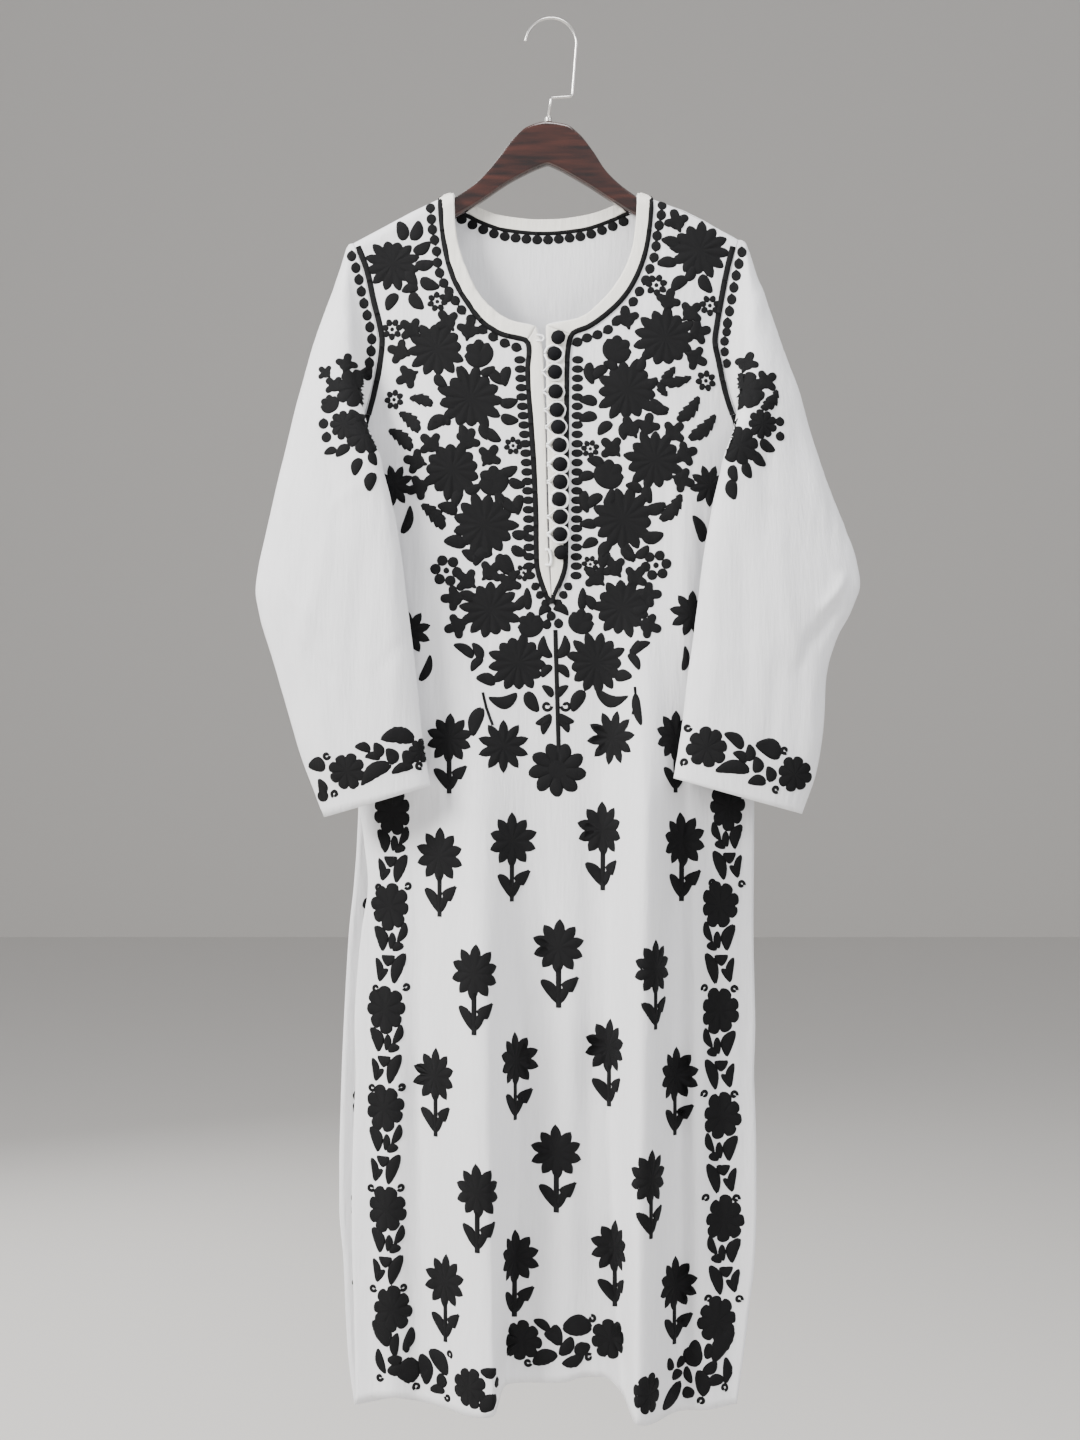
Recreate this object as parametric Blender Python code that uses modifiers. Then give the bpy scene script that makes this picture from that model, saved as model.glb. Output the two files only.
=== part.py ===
"""A long white kurta tunic on a wooden hanger, held up by its wire hook.

The front faces -Y and the origin is the underside of the hook's crown. Sizes are in millimetres, and
"down" is the distance below the origin. Left and right are those of someone who looks at the front.
"""

import math

import bmesh
import bpy
import numpy as np

MM = 0.001

# cloth and seams
WALL = 1.5
BAND_WALL = 1.2
GAP = 0.3
SEAM_HALF_GAP = 0.55
SLEEVE_GAP = 0.4

# body
SHOULDER_ROUND = 12.0  # how far below the shoulder seam the cloth has turned down
SIDE_ROUND = 75.0  # how far in from a side edge the body reaches its full depth
HEM_DOWN = 1322.0
HEM_CURVE_STARTS = 1120.0
BODY_COLUMNS = 12
BACK_SHOULDER_CELLS = 5
BACK_NECK_CELLS = 11

# buttons and loops
BUTTON_RADIUS = 6.9
BUTTON_BASE_RADIUS = 5.2
BUTTON_HEIGHT = 7.0
BUTTON_STEPS = 12
BUTTON_LIFT = 0.7
LOOP_CORD_RADIUS = 0.7
LOOP_RADIUS = 6.6
LOOP_LIFT = 1.3
LOOP_POINTS = 9
LOOP_HALF_TURN = math.radians(150)
LOOP_FOOT = 2.7  # half the distance between the two ends of a loop that hangs free

# hanger
HOOK_RADIUS = 24.4
HOOK_WIRE_RADIUS = 1.3
HOOK_TIP_DEGREES = 175.0
HOOK_STEPS = 18
HOOK_SIDE_LEAN = -3.6
HOOK_KNEE_DOWN = 74.2
HOOK_CORNER = 4.0
STEM_BEND_RIGHT = 2.4  # the wire bends down this far to the right of the stem's foot
STEM_BEND_FALL = 0.8
STEM_CORNER = 2.2
CORNER_STEPS = 4
FERRULE_RADIUS = 3.3
FERRULE_HEIGHT = 4.5
STEM_X = -2.4
WOOD_HALF_THICKNESS = 5.6
WOOD_CHAMFER = 3.4
WOOD_BELOW_SEAM = 3.0
WOOD_END_ROUND = 8.0


def table(columns, *rows):
    """Rows of numbers, kept as one array for each named column."""
    return dict(zip(columns.split(), np.array(rows, float).T))


# the shoulder seams, with the hanger's slope between them
SHOULDER = table(
    "x down",
    (-189.6, 215.1), (-162.8, 200.7), (-138.9, 187.3), (-110.1, 173.9), (-92.9, 168.2), (-84, 160),
    (-40, 136), (-5, 118), (30, 136), (74, 160), (82.4, 168.2), (97.8, 172.9), (130.3, 184.4),
    (147.6, 193.1), (178.7, 211.3), (191.2, 218.0),
)

# the side edges of the front: armhole, side seam below 411, slit below 743
FRONT_EDGE = table(
    "down left right",
    (211.3, -190.6, 179.1), (244, -178.4, 170.7), (273, -172.0, 165.0), (295, -166.4, 161.2),
    (310, -164.0, 159.2), (332, -166.2, 163.5), (360, -172.0, 169.8), (385, -179.5, 179.0),
    (411, -187.0, 187.5), (500, -189.0, 190.5), (620, -188.0, 192.5), (743, -184.5, 194.5),
    (826, -174.5, 193.4), (878, -181.3, 193.0), (962, -187.3, 194.6), (1002, -186.2, 193.4),
    (1080, -189.0, 195.6), (1157, -190.0, 195.6), (1225, -188.0, 189.6), (1300, -186.5, 180.5),
    (1330, -186.0, 176.0),
)

BACK_EDGE = table(
    "down left right",
    (211.3, -190.6, 179.1), (244, -181.5, 173.0), (273, -176.0, 168.5), (310, -170.5, 166.0),
    (360, -175.0, 173.0), (411, -187.0, 187.5), (500, -189.0, 190.5), (620, -188.0, 192.5),
    (743, -184.5, 194.5), (827, -189.2, 190.5), (878, -194.5, 189.5), (945, -198.4, 190.5),
    (1004, -201.2, 189.5), (1129, -204.0, 191.0), (1195, -199.3, 188.0), (1261, -196.4, 184.0),
    (1330, -188.0, 174.0),
)

# how far the cloth stands out from the middle plane, in the middle of the body and at its side edges
FRONT_DEPTH = table(
    "down middle edge",
    (168, 11.5, 10), (215, 13, 11), (250, 17, 12.5), (308, 23, 15), (360, 27, 12), (395, 29, 5.5),
    (411, 30, 2.3), (743, 30, 2.3), (800, 29, 7), (900, 27, 11), (1060, 22, 12), (1200, 15, 11),
    (1335, 11, 9),
)

BACK_DEPTH = table(
    "down middle edge",
    (168, 11.5, 10), (215, 12.5, 10.5), (250, 15, 12), (308, 20, 14), (360, 22, 11), (395, 23, 5.5),
    (411, 24, 2.3), (743, 22, 2.3), (800, 20, 6), (900, 18, 9), (1060, 17, 10), (1335, 14, 9),
)

# vertical folds: a crest at x with its two half widths, growing from its start to its full depth
FRONT_FOLDS = table(
    "starts full x x_hem left left_hem right right_hem depth",
    (560, 1040, -72, -54, 66, 74, 50, 11, 44),
    (500, 850, 90, 80, 46, 13, 42, 46, 46),
    (430, 700, 118, 150, 24, 24, 24, 24, 5),
    (800, 1150, -148, -150, 26, 24, 26, 24, 6),
    (700, 1100, 18, 10, 30, 34, 28, 30, 5),
)

BACK_FOLDS = table(
    "starts full x x_hem left left_hem right right_hem depth",
    (620, 1100, -95, -92, 52, 58, 48, 30, 22),
    (560, 1050, 60, 52, 50, 28, 55, 66, 26),
    (760, 1200, 142, 146, 26, 26, 26, 26, 8),
    (700, 1150, -20, -24, 30, 30, 30, 30, 7),
)

FRONT_HEM = table(
    "x down",
    (-187, 1323), (-152, 1315), (-121, 1321), (-70, 1324), (-54, 1321), (-43, 1303), (9, 1301),
    (37, 1296), (62, 1299), (70, 1317), (79, 1328), (97, 1331), (125, 1329), (150, 1327), (176, 1323),
)

BACK_HEM = table(
    "x down",
    (-188, 1330), (-120, 1318), (-60, 1310), (0, 1305), (60, 1309), (120, 1319), (174, 1323),
)

# the front neck, from the shoulder seam to the slit: the band's inner and outer edges on either side
FRONT_NECK = table(
    "left_in left_in_down left_out left_out_down right_in right_in_down right_out right_out_down",
    (-92.4, 168.0, -106.2, 172.6, 82.2, 168.0, 96.1, 172.4),
    (-92.4, 169.5, -106.2, 174.1, 82.2, 169.5, 96.1, 173.9),
    (-92.3, 173.0, -106.2, 177.6, 82.1, 173.0, 96.1, 177.4),
    (-92.1, 180.0, -105.8, 184.6, 81.8, 180.0, 95.8, 184.4),
    (-91.3, 198.0, -104.2, 203.5, 80.6, 198.0, 94.2, 202.5),
    (-88.2, 218.5, -100.8, 226.0, 77.9, 218.4, 90.8, 223.5),
    (-80.4, 242.0, -92.9, 252.4, 70.7, 240.4, 82.5, 248.0),
    (-70.9, 262.5, -81.0, 273.5, 59.7, 259.2, 70.5, 268.5),
    (-56.7, 279.8, -66.0, 293.5, 45.5, 275.5, 54.0, 285.5),
    (-39.4, 291.6, -47.0, 306.0, 28.0, 289.0, 36.0, 298.5),
    (-14.3, 298.1, -22.8, 313.0, -4.8, 297.2, 19.8, 306.4),
)

# the front's other rows, at the side edge and at the centre
FRONT_ROWS = table(
    "edge centre",
    (394, 322), (411, 352), (445, 388), (485, 430), (525, 476), (565, 518), (610, 556),
    (655, 606), (700, 658), (743, 708), (785, 758), (828, 808), (872, 858), (917, 908), (962, 957),
    (1007, 1005), (1052, 1052), (1097, 1097), (1142, 1142), (1187, 1187), (1230, 1230), (1274, 1274),
    (1322, 1322),
)

ARMHOLE_BELOW_TIP = (0.0, 1.5, 5.0, 12.5)
ARMHOLE_DOWN = (250.0, 272.0, 292.0, 310.0, 330.0, 352.0, 374.0, 394.0, 411.0)
SLIT_ROWS = 17  # the last row of the front that is still open at the centre is the one before

# the centre slit and the outer edges of the two placket strips
PLACKET = table(
    "down left_out left_in right_in right_out",
    (298, -22.8, -14.3, -4.8, 19.8), (322, -20.6, -7.8, -4.6, 15.8), (365, -18.1, -6.2, -4.4, 15.2),
    (419, -14.3, -5.0, -3.4, 15.0), (473, -11.9, -3.8, -2.2, 14.6), (518, -11.2, -2.4, -1.0, 14.2),
    (533, -11.0, -1.6, 0.2, 14.1), (556, -3.6, 0.4, 0.4, 4.4), (640, -12.0, 0.4, 0.4, 13.0),
    (1340, -13.0, 0.4, 0.4, 14.0),
)

BACK_NECK = table(
    "x down",
    (-106.2, 172.6), (-92.4, 167.6), (-81.7, 171.8), (-70.1, 177.5), (-44.2, 186.1), (-7.6, 189.4),
    (28.9, 186.1), (58.7, 176.7), (71.2, 171.4), (82.2, 167.6), (96.1, 172.4),
)

BUTTONS = table(
    "x down",
    (7.4, 309.6), (2.6, 325.1), (3.4, 342.7), (4.4, 361.3), (5.6, 378.8), (6.6, 395.0), (7.7, 412.0),
    (8.6, 430.0), (8.4, 446.6), (7.6, 463.0), (8.3, 479.6), (8.4, 496.0), (9.6, 513.2),
)
# the loops that hang free of their buttons: how far they reach to the right, and how far they drop
FREE_LOOPS = {1: (4.6, 0.0), 13: (3.0, 9.0)}

# each sleeve lies between an outer and an inner fold edge; one row for each section after the armhole
LEFT_SLEEVE = table(
    "outer_x outer_down outer_y inner_x inner_down inner_y half_depth",
    (-194.5, 219, 0, -189, 414, -4, 14), (-197.5, 232, -1, -188, 417, -13, 18),
    (-201, 252, -3, -180, 419, -25, 21), (-211, 283, -6, -169, 421, -37, 23),
    (-224, 315, -10, -161.5, 424, -46, 24), (-234, 345, -14, -158.5, 430, -50, 25),
    (-241, 375, -18, -156, 441, -51, 25), (-250, 417, -22, -149, 468, -51, 24),
    (-259.5, 454, -26, -143, 497, -52, 24), (-268.5, 492, -29, -138.5, 530, -53, 24),
    (-276, 527, -32, -134.5, 562, -53, 24), (-278.5, 549, -34, -131.5, 585, -53, 24),
    (-274, 575, -36, -128.5, 608, -53, 24), (-263, 611, -38, -125, 641, -54, 24),
    (-251, 652, -40, -121.5, 674, -54, 23), (-236, 702, -43, -117.5, 706, -55, 22),
    (-212.6, 762, -45, -113, 732.5, -55, 20),
)

RIGHT_SLEEVE = table(
    "outer_x outer_down outer_y inner_x inner_down inner_y half_depth",
    (184.5, 214, 0, 189, 414, -4, 14), (190, 221, -0.5, 188, 417, -13, 18),
    (193, 238, -2, 181, 419, -25, 21), (203, 275, -6, 170, 421, -37, 23),
    (215, 306, -10, 163, 424, -46, 24), (225, 335, -14, 160, 430, -50, 25),
    (234.5, 363, -18, 157.5, 441, -51, 25), (245, 404, -22, 152, 465, -51, 24),
    (262, 450, -26, 146.5, 493, -52, 24), (277.5, 490, -29, 141, 527, -53, 24),
    (288, 521, -32, 137.5, 557, -53, 24), (291, 543, -34, 134.5, 580, -53, 24),
    (283, 567, -36, 132, 600, -53, 24), (268, 597, -38, 128, 625, -54, 24),
    (258, 634, -40, 124.5, 655, -54, 24), (255.5, 676, -42, 121, 683, -55, 23),
    (247.5, 722, -44, 117.5, 706, -55, 22), (234.7, 759, -45, 114.4, 725.4, -55, 20),
)

# how far the front and the back of each section after the armhole have left the armhole's own shape
SLEEVE_TURN_FRONT = (0.2, 0.45, 0.7, 0.9, 1, 1, 1, 1)
SLEEVE_TURN_BACK = (0.02, 0.07, 0.15, 0.28, 0.45, 0.65, 0.83, 0.95)
# near a section's inner fold the cloth leans, the front towards the body and the back away from it
SLEEVE_LEAN = (0.15, 0.35, 0.5, 0.5, 0.4, 0.25, 0.125)
SLEEVE_LEAN_POWER = 4
SLEEVE_FULLNESS = 0.8  # below 1 the folded edges are rounder than an oval's
SLEEVE_ROLL = 1.15  # how far the underarm seam turns to the back, as an angle
SLEEVE_ROLL_SECTIONS = 2
SLEEVE_STEP = 2.6
SLEEVE_STEP_SWING = 0.8
UNDERARM_STEP = 2.0

# the wooden bar's upper and lower edges, up to where the cloth covers it
WOOD_TOP = table(
    "x down",
    (-91.3, 170.8), (-73.1, 158.6), (-61.9, 147.4), (-49.2, 132.2), (-36.5, 115.5), (-22.2, 103.0),
    (-4.8, 98.4), (14.4, 101.1), (26.9, 110.0), (39.8, 126.0), (52.4, 145.0), (66.8, 159.2),
    (82.6, 170.8),
)
WOOD_BOTTOM = table(
    "x down",
    (-186.5, 224), (-183, 229), (-175, 230), (-150, 219), (-120, 205), (-91.3, 190.2), (-69.9, 177.5),
    (-36.5, 155.3), (-6, 141.0), (-3.1, 140.2), (0, 141.2), (33.4, 159.2), (57.2, 174.4),
    (82.6, 189.4), (115, 201), (140, 212), (165, 226), (173, 226), (177.5, 219.5),
)
WOOD_LEFT_END = -186.0
WOOD_RIGHT_END = 177.0
WOOD_STATIONS = (-186, -184, -180, -172, -155, -135, -115, -98, -80, -62, -49, -36, -22, -12, -3, 6,
                 16, 27, 40, 52, 66, 84, 102, 120, 138, 155, 167, 172, 175.5, 177)


def read(rows, key, column, place):
    """A column of a table at any place, on a smooth curve that never overshoots its rows."""
    xs = rows[key]
    ys = rows[column]
    place = np.clip(place, xs[0], xs[-1])
    step = np.diff(xs)
    slope = np.diff(ys) / step
    same_way = slope[:-1] * slope[1:] > 0
    both = np.where(same_way, slope[:-1] + slope[1:], 1.0)
    inner = np.where(same_way, 2 * slope[:-1] * slope[1:] / both, 0.0)
    tangent = np.concatenate([slope[:1], inner, slope[-1:]])
    i = np.clip(np.searchsorted(xs, place, side="right") - 1, 0, len(step) - 1)
    t = (place - xs[i]) / step[i]
    rise = ys[i + 1] - ys[i]
    a = step[i] * tangent[i] - rise
    b = rise - step[i] * tangent[i + 1]
    return ys[i] + t * rise + t * (1 - t) * ((1 - t) * a + t * b)


def smooth(t):
    t = np.clip(t, 0, 1)
    return t * t * (3 - 2 * t)


def fold_depth(folds, x, down):
    """How far all the folds of a panel stand out together at a place."""
    total = 0.0
    for i in range(len(folds["x"])):
        fold = {name: column[i] for name, column in folds.items()}
        grown = smooth((down - fold["starts"]) / (fold["full"] - fold["starts"]))
        to_hem = np.clip((down - fold["starts"]) / (HEM_DOWN - fold["starts"]), 0, 1)
        crest = fold["x"] + (fold["x_hem"] - fold["x"]) * to_hem
        left = fold["left"] + (fold["left_hem"] - fold["left"]) * to_hem**2
        right = fold["right"] + (fold["right_hem"] - fold["right"]) * to_hem**2
        t = (x - crest) / np.where(x < crest, left, right)
        total = total + fold["depth"] * grown * (1 + np.cos(math.pi * np.clip(t, -1, 1))) / 2
    return total


def stand_out(x, down, edges, depths, folds):
    """The distance of a panel's outer face from the middle plane."""
    left = read(edges, "down", "left", down)
    right = read(edges, "down", "right", down)
    from_side = np.clip(np.minimum(x - left, right - x) / SIDE_ROUND, 0, 1)
    edge = read(depths, "down", "edge", down)
    middle = read(depths, "down", "middle", down)
    full = edge + (middle - edge) * np.sin(from_side * math.pi / 2) + fold_depth(folds, x, down)
    below = np.clip((down - read(SHOULDER, "x", "down", x)) / SHOULDER_ROUND, 0, 1)
    turned = np.sqrt(1 - (1 - below) ** 2)
    return SEAM_HALF_GAP + (full - SEAM_HALF_GAP) * turned


def front_y(x, down):
    return -stand_out(x, down, FRONT_EDGE, FRONT_DEPTH, FRONT_FOLDS)


def back_y(x, down):
    return stand_out(x, down, BACK_EDGE, BACK_DEPTH, BACK_FOLDS)


def lifted(x, down, face_y, side, lift):
    """The point that lies this far off a panel's outer face; side is -1 in front and 1 behind."""
    step = 0.4
    slope_x = (face_y(x + step, down) - face_y(x - step, down)) / (2 * step)
    slope_down = (face_y(x, down + step) - face_y(x, down - step)) / (2 * step)
    normal = np.array([-slope_x, 1.0, -slope_down]) * side
    point = np.array([x, face_y(x, down), down])
    return point + lift * normal / np.linalg.norm(normal)


def hem_shift(hem, x, down):
    near = smooth((down - HEM_CURVE_STARTS) / (HEM_DOWN - HEM_CURVE_STARTS))
    return (read(hem, "x", "down", x) - HEM_DOWN) * near


def even_places(start, end, count, face_y):
    """Places from start to end, (x, down), the same length of cloth apart."""
    t = np.linspace(0, 1, 241)
    x = start[0] + (end[0] - start[0]) * t
    down = start[1] + (end[1] - start[1]) * t
    y = face_y(x, down)
    along = np.concatenate([[0], np.cumsum(np.sqrt(np.diff(x) ** 2 + np.diff(y) ** 2 + np.diff(down) ** 2))])
    at = np.interp(np.linspace(0, along[-1], count + 1), along, t)
    return [(start[0] + (end[0] - start[0]) * a, start[1] + (end[1] - start[1]) * a) for a in at]


def armhole_downs(side):
    tip = 215.1 if side == "left" else 211.3
    return [tip + below for below in ARMHOLE_BELOW_TIP] + list(ARMHOLE_DOWN)


def front_rows(side):
    """Half of the front as rows of (x, down) from the centre, by the band, out to the side edge."""
    rows = []
    armhole = armhole_downs(side)
    necks = len(FRONT_NECK["left_in"])
    edge_downs = armhole[:necks] + list(FRONT_ROWS["edge"])
    for i, edge_down in enumerate(edge_downs):
        edge = (float(read(FRONT_EDGE, "down", side, edge_down)), edge_down)
        if i < necks:
            inner = (FRONT_NECK[side + "_in"][i], FRONT_NECK[side + "_in_down"][i])
            outer = (FRONT_NECK[side + "_out"][i], FRONT_NECK[side + "_out_down"][i])
        else:
            centre_down = FRONT_ROWS["centre"][i - necks]
            inner = (float(read(PLACKET, "down", side + "_in", centre_down)), centre_down)
            outer_x = float(read(PLACKET, "down", side + "_out", centre_down))
            share = (outer_x - inner[0]) / (edge[0] - inner[0])
            outer = (outer_x, centre_down + (edge_down - centre_down) * share)
        places = [inner] + even_places(outer, edge, BODY_COLUMNS, front_y)
        rows.append([(x, down + float(hem_shift(FRONT_HEM, x, down))) for x, down in places])
    return rows


def back_rows():
    """The back as rows of (x, down) from the left edge to the right edge."""
    neck_left = BACK_NECK["x"][0]
    neck_right = BACK_NECK["x"][-1]
    tips = (armhole_downs("left")[0], armhole_downs("right")[0])
    left_tip = float(read(BACK_EDGE, "down", "left", tips[0]))
    right_tip = float(read(BACK_EDGE, "down", "right", tips[1]))
    top_x = np.concatenate([
        np.linspace(left_tip, neck_left, BACK_SHOULDER_CELLS + 1)[:-1],
        np.linspace(neck_left, neck_right, BACK_NECK_CELLS + 1),
        np.linspace(neck_right, right_tip, BACK_SHOULDER_CELLS + 1)[1:],
    ])
    over_neck = (top_x > neck_left) & (top_x < neck_right)
    seam = read(SHOULDER, "x", "down", top_x)
    top_down = np.where(over_neck, read(BACK_NECK, "x", "down", top_x), seam)
    top_share = (top_x - left_tip) / (right_tip - left_tip)
    rows = []
    for below in ARMHOLE_BELOW_TIP:
        left = float(read(BACK_EDGE, "down", "left", tips[0] + below))
        right = float(read(BACK_EDGE, "down", "right", tips[1] + below))
        rows.append(list(zip(left + (right - left) * top_share, top_down + below)))
    levels = list(ARMHOLE_DOWN) + list(FRONT_ROWS["edge"][2:])
    for i, level in enumerate(levels):
        released = smooth((i + 1) / (len(ARMHOLE_DOWN) + 2))
        left = float(read(BACK_EDGE, "down", "left", level))
        right = float(read(BACK_EDGE, "down", "right", level))
        even = even_places((left, level), (right, level), len(top_x) - 1, back_y)
        even_share = (np.array(even)[:, 0] - left) / (right - left)
        share = top_share + (even_share - top_share) * released
        x = left + (right - left) * share
        tip_down = tips[0] + (tips[1] - tips[0]) * share
        down = level + (top_down - tip_down) * (1 - released)
        rows.append(list(zip(x, down + hem_shift(BACK_HEM, x, down))))
    return rows


def sleeve_rings(side, sections):
    """The armhole's ring, made from the panels' own edges, and then a ring for each section."""
    outward = -1 if side == "left" else 1
    downs = armhole_downs(side)
    armhole = []
    for edges, face_y in ((FRONT_EDGE, front_y), (BACK_EDGE, back_y)):
        edge = []
        for down in downs:
            x = float(read(edges, "down", side, down))
            edge.append((x + outward * SLEEVE_GAP, float(face_y(x, down)), down))
        armhole.append(edge)
    armhole = np.array(armhole[0] + armhole[1][::-1])
    count = len(downs)
    half_turn = np.array([math.pi * (i + 0.5) / count for i in range(count)])
    angles = np.concatenate([half_turn, 2 * math.pi - half_turn[::-1]])
    near_fold = ((1 - np.cos(angles)) / 2) ** SLEEVE_LEAN_POWER
    towards_back = -np.sin(angles)
    leaving = SLEEVE_STEP + SLEEVE_STEP_SWING * towards_back
    leaving = leaving + (UNDERARM_STEP - leaving) * near_fold
    rings = [armhole]
    for k in range(len(sections["outer_x"])):
        row = {name: column[k] for name, column in sections.items()}
        outer = np.array([row["outer_x"], row["outer_y"], row["outer_down"]])
        inner = np.array([row["inner_x"], row["inner_y"], row["inner_down"]])
        roll = SLEEVE_ROLL * min(1, (k + 1) / SLEEVE_ROLL_SECTIONS)
        rolled = angles + roll * ((1 - np.cos(angles)) / 2) ** 2
        bulge = -np.sign(np.sin(rolled)) * np.abs(np.sin(rolled)) ** SLEEVE_FULLNESS
        oval = (outer + inner) / 2 - np.outer(np.cos(rolled), (inner - outer) / 2)
        oval[:, 1] += row["half_depth"] * bulge
        lean = SLEEVE_LEAN[k] if k < len(SLEEVE_LEAN) else 0.0
        oval[:, 0] += outward * lean * row["half_depth"] * bulge * near_fold
        if k < len(SLEEVE_TURN_FRONT):
            back_share = (1 + towards_back) / 2
            turn = SLEEVE_TURN_FRONT[k] + (SLEEVE_TURN_BACK[k] - SLEEVE_TURN_FRONT[k]) * back_share
            moved = armhole.copy()
            moved[:, 0] += outward * leaving * (k + 1)
            oval = moved + (oval - moved) * turn[:, None]
        rings.append(oval)
    return rings


def material(name, colour, roughness, metallic=0.0):
    made = bpy.data.materials.new(name)
    made.use_nodes = True
    shader = made.node_tree.nodes["Principled BSDF"]
    shader.inputs["Base Color"].default_value = (*colour, 1)
    shader.inputs["Roughness"].default_value = roughness
    shader.inputs["Metallic"].default_value = metallic
    return made


def add_object(name, data, look, parts):
    made = bpy.data.objects.new(name, data)
    data.materials.append(look)
    parts.objects.link(made)
    return made


def mesh_of(name, points, faces):
    """A mesh from points given as (x, y, down) in millimetres."""
    mesh = bpy.data.meshes.new(name)
    mesh.from_pydata([(x * MM, y * MM, -down * MM) for x, y, down in points], [], faces)
    mesh.shade_smooth()
    return mesh


def faces_between(rows, columns, around, turned):
    """Quads between rows of points; around joins each row's end to its start, turned reverses them."""
    faces = []
    for r in range(rows - 1):
        for c in range(columns if around else columns - 1):
            d = (c + 1) % columns
            quad = (r * columns + c, r * columns + d, (r + 1) * columns + d, (r + 1) * columns + c)
            faces.append(quad[::-1] if turned else quad)
    return faces


def add_cloth(name, sheets, wall, look, parts):
    """Sheets of (rows of points, turned) joined along shared points and given their wall, inwards."""
    points = []
    faces = []
    for rows, around, turned in sheets:
        start = len(points)
        points += [point for row in rows for point in row]
        found = faces_between(len(rows), len(rows[0]), around, turned)
        faces += [tuple(start + i for i in face) for face in found]
    mesh = mesh_of(name, points, faces)
    shell = bmesh.new()
    shell.from_mesh(mesh)
    bmesh.ops.remove_doubles(shell, verts=shell.verts, dist=1e-6)
    shell.to_mesh(mesh)
    shell.free()
    made = add_object(name, mesh, look, parts)
    thick = made.modifiers.new("Wall", "SOLIDIFY")
    thick.thickness = wall * MM
    thick.offset = -1
    return made


def add_body(parts, cotton):
    left = front_rows("left")
    right = front_rows("right")
    halves = []
    for rows, turned in ((left, True), (right, False)):
        points = [[(x, float(front_y(x, down)), down) for x, down in row] for row in rows]
        halves.append((points[::-1], False, turned))
    add_cloth("front_panel", halves, WALL, cotton, parts)

    necks = len(FRONT_NECK["left_in"])
    lift = GAP + BAND_WALL
    for side, rows, turned in (("left", left, True), ("right", right, False)):
        edges = [[lifted(x, down, front_y, -1, lift) for x, down in row[:2]] for row in rows]
        add_cloth("neck_band_" + side, [(edges[: necks][::-1], False, turned)], BAND_WALL, cotton, parts)
        strip = edges[necks - 1: SLIT_ROWS + 1]
        strip[0] = [point + np.array([0, 0, GAP]) for point in strip[0]]
        strip[-1] = [point + np.array([-GAP if side == "left" else GAP, 0, 0]) for point in strip[-1]]
        add_cloth("placket_" + side, [(strip[::-1], False, turned)], BAND_WALL, cotton, parts)

    rows = back_rows()
    points = [[(x, float(back_y(x, down)), down) for x, down in row] for row in rows]
    add_cloth("back_panel", [(points[::-1], False, True)], WALL, cotton, parts)
    first = BACK_SHOULDER_CELLS
    last = BACK_SHOULDER_CELLS + BACK_NECK_CELLS
    band = [[lifted(x, down, back_y, 1, lift) for x, down in row[first: last + 1]] for row in rows[:4]]
    add_cloth("neck_band_back", [(band[::-1], False, True)], BAND_WALL, cotton, parts)


def add_sleeves(parts, cotton):
    for side, sections in (("left", LEFT_SLEEVE), ("right", RIGHT_SLEEVE)):
        rings = sleeve_rings(side, sections)
        add_cloth("sleeve_" + side, [(rings, True, side == "left")], WALL, cotton, parts)


def button_mesh():
    """A cloth-covered dome, turned about Z, with a narrower base for its loop."""
    profile = ((0, BUTTON_HEIGHT), (4.2, 6.3), (6.5, 4.5), (BUTTON_RADIUS, 2.7),
               (BUTTON_BASE_RADIUS, 1.9), (BUTTON_BASE_RADIUS, 0), (0, 0))
    mesh = bpy.data.meshes.new("button")
    edges = [(i, i + 1) for i in range(len(profile) - 1)]
    mesh.from_pydata([(radius * MM, 0, height * MM) for radius, height in profile], edges, [])
    return mesh


def add_buttons(parts, black):
    mesh = button_mesh()
    mesh.materials.append(black)
    for i, (x, down) in enumerate(zip(BUTTONS["x"], BUTTONS["down"])):
        place = lifted(x, down, front_y, -1, GAP + BAND_WALL + BUTTON_LIFT)
        made = bpy.data.objects.new(f"button_{i + 1:02d}", mesh)
        parts.objects.link(made)
        made.location = (place[0] * MM, place[1] * MM, -place[2] * MM)
        made.rotation_euler = (math.pi / 2, 0, 0)
        turned = made.modifiers.new("Turned", "SCREW")
        turned.angle = 2 * math.pi
        turned.steps = BUTTON_STEPS
        turned.render_steps = BUTTON_STEPS
        turned.use_merge_vertices = True
        turned.merge_threshold = 0.00001
        turned.use_smooth_shade = True


def loop_path(number, x, down):
    """A cord from the left strip's edge round a button's base and back, or hanging free."""
    if number in FREE_LOOPS:
        reach, drop = FREE_LOOPS[number]
        edge_x = float(read(PLACKET, "down", "left_in", down))
        return [
            (edge_x, down - LOOP_FOOT),
            (edge_x + reach * 0.5, down - LOOP_FOOT * 0.8 + drop * 0.2),
            (edge_x + reach * 0.8, down + drop * 0.6),
            (edge_x + reach * 0.55, down + LOOP_FOOT * 0.8 + drop),
            (edge_x, down + LOOP_FOOT + drop),
        ]
    path = []
    for k in range(LOOP_POINTS):
        angle = LOOP_HALF_TURN * (1 - 2 * k / (LOOP_POINTS - 1))
        path.append((x + LOOP_RADIUS * math.cos(angle), down + LOOP_RADIUS * math.sin(angle)))
    return path


def add_tube(name, points, radius, resolution, look, parts):
    """A round wire or cord along points given as (x, y, down)."""
    curve = bpy.data.curves.new(name, "CURVE")
    curve.dimensions = "3D"
    curve.bevel_depth = radius * MM
    curve.bevel_resolution = resolution
    curve.use_fill_caps = True
    line = curve.splines.new("POLY")
    line.points.add(len(points) - 1)
    for point, (x, y, down) in zip(line.points, points):
        point.co = (x * MM, y * MM, -down * MM, 1)
    line.use_smooth = True
    return add_object(name, curve, look, parts)


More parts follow.
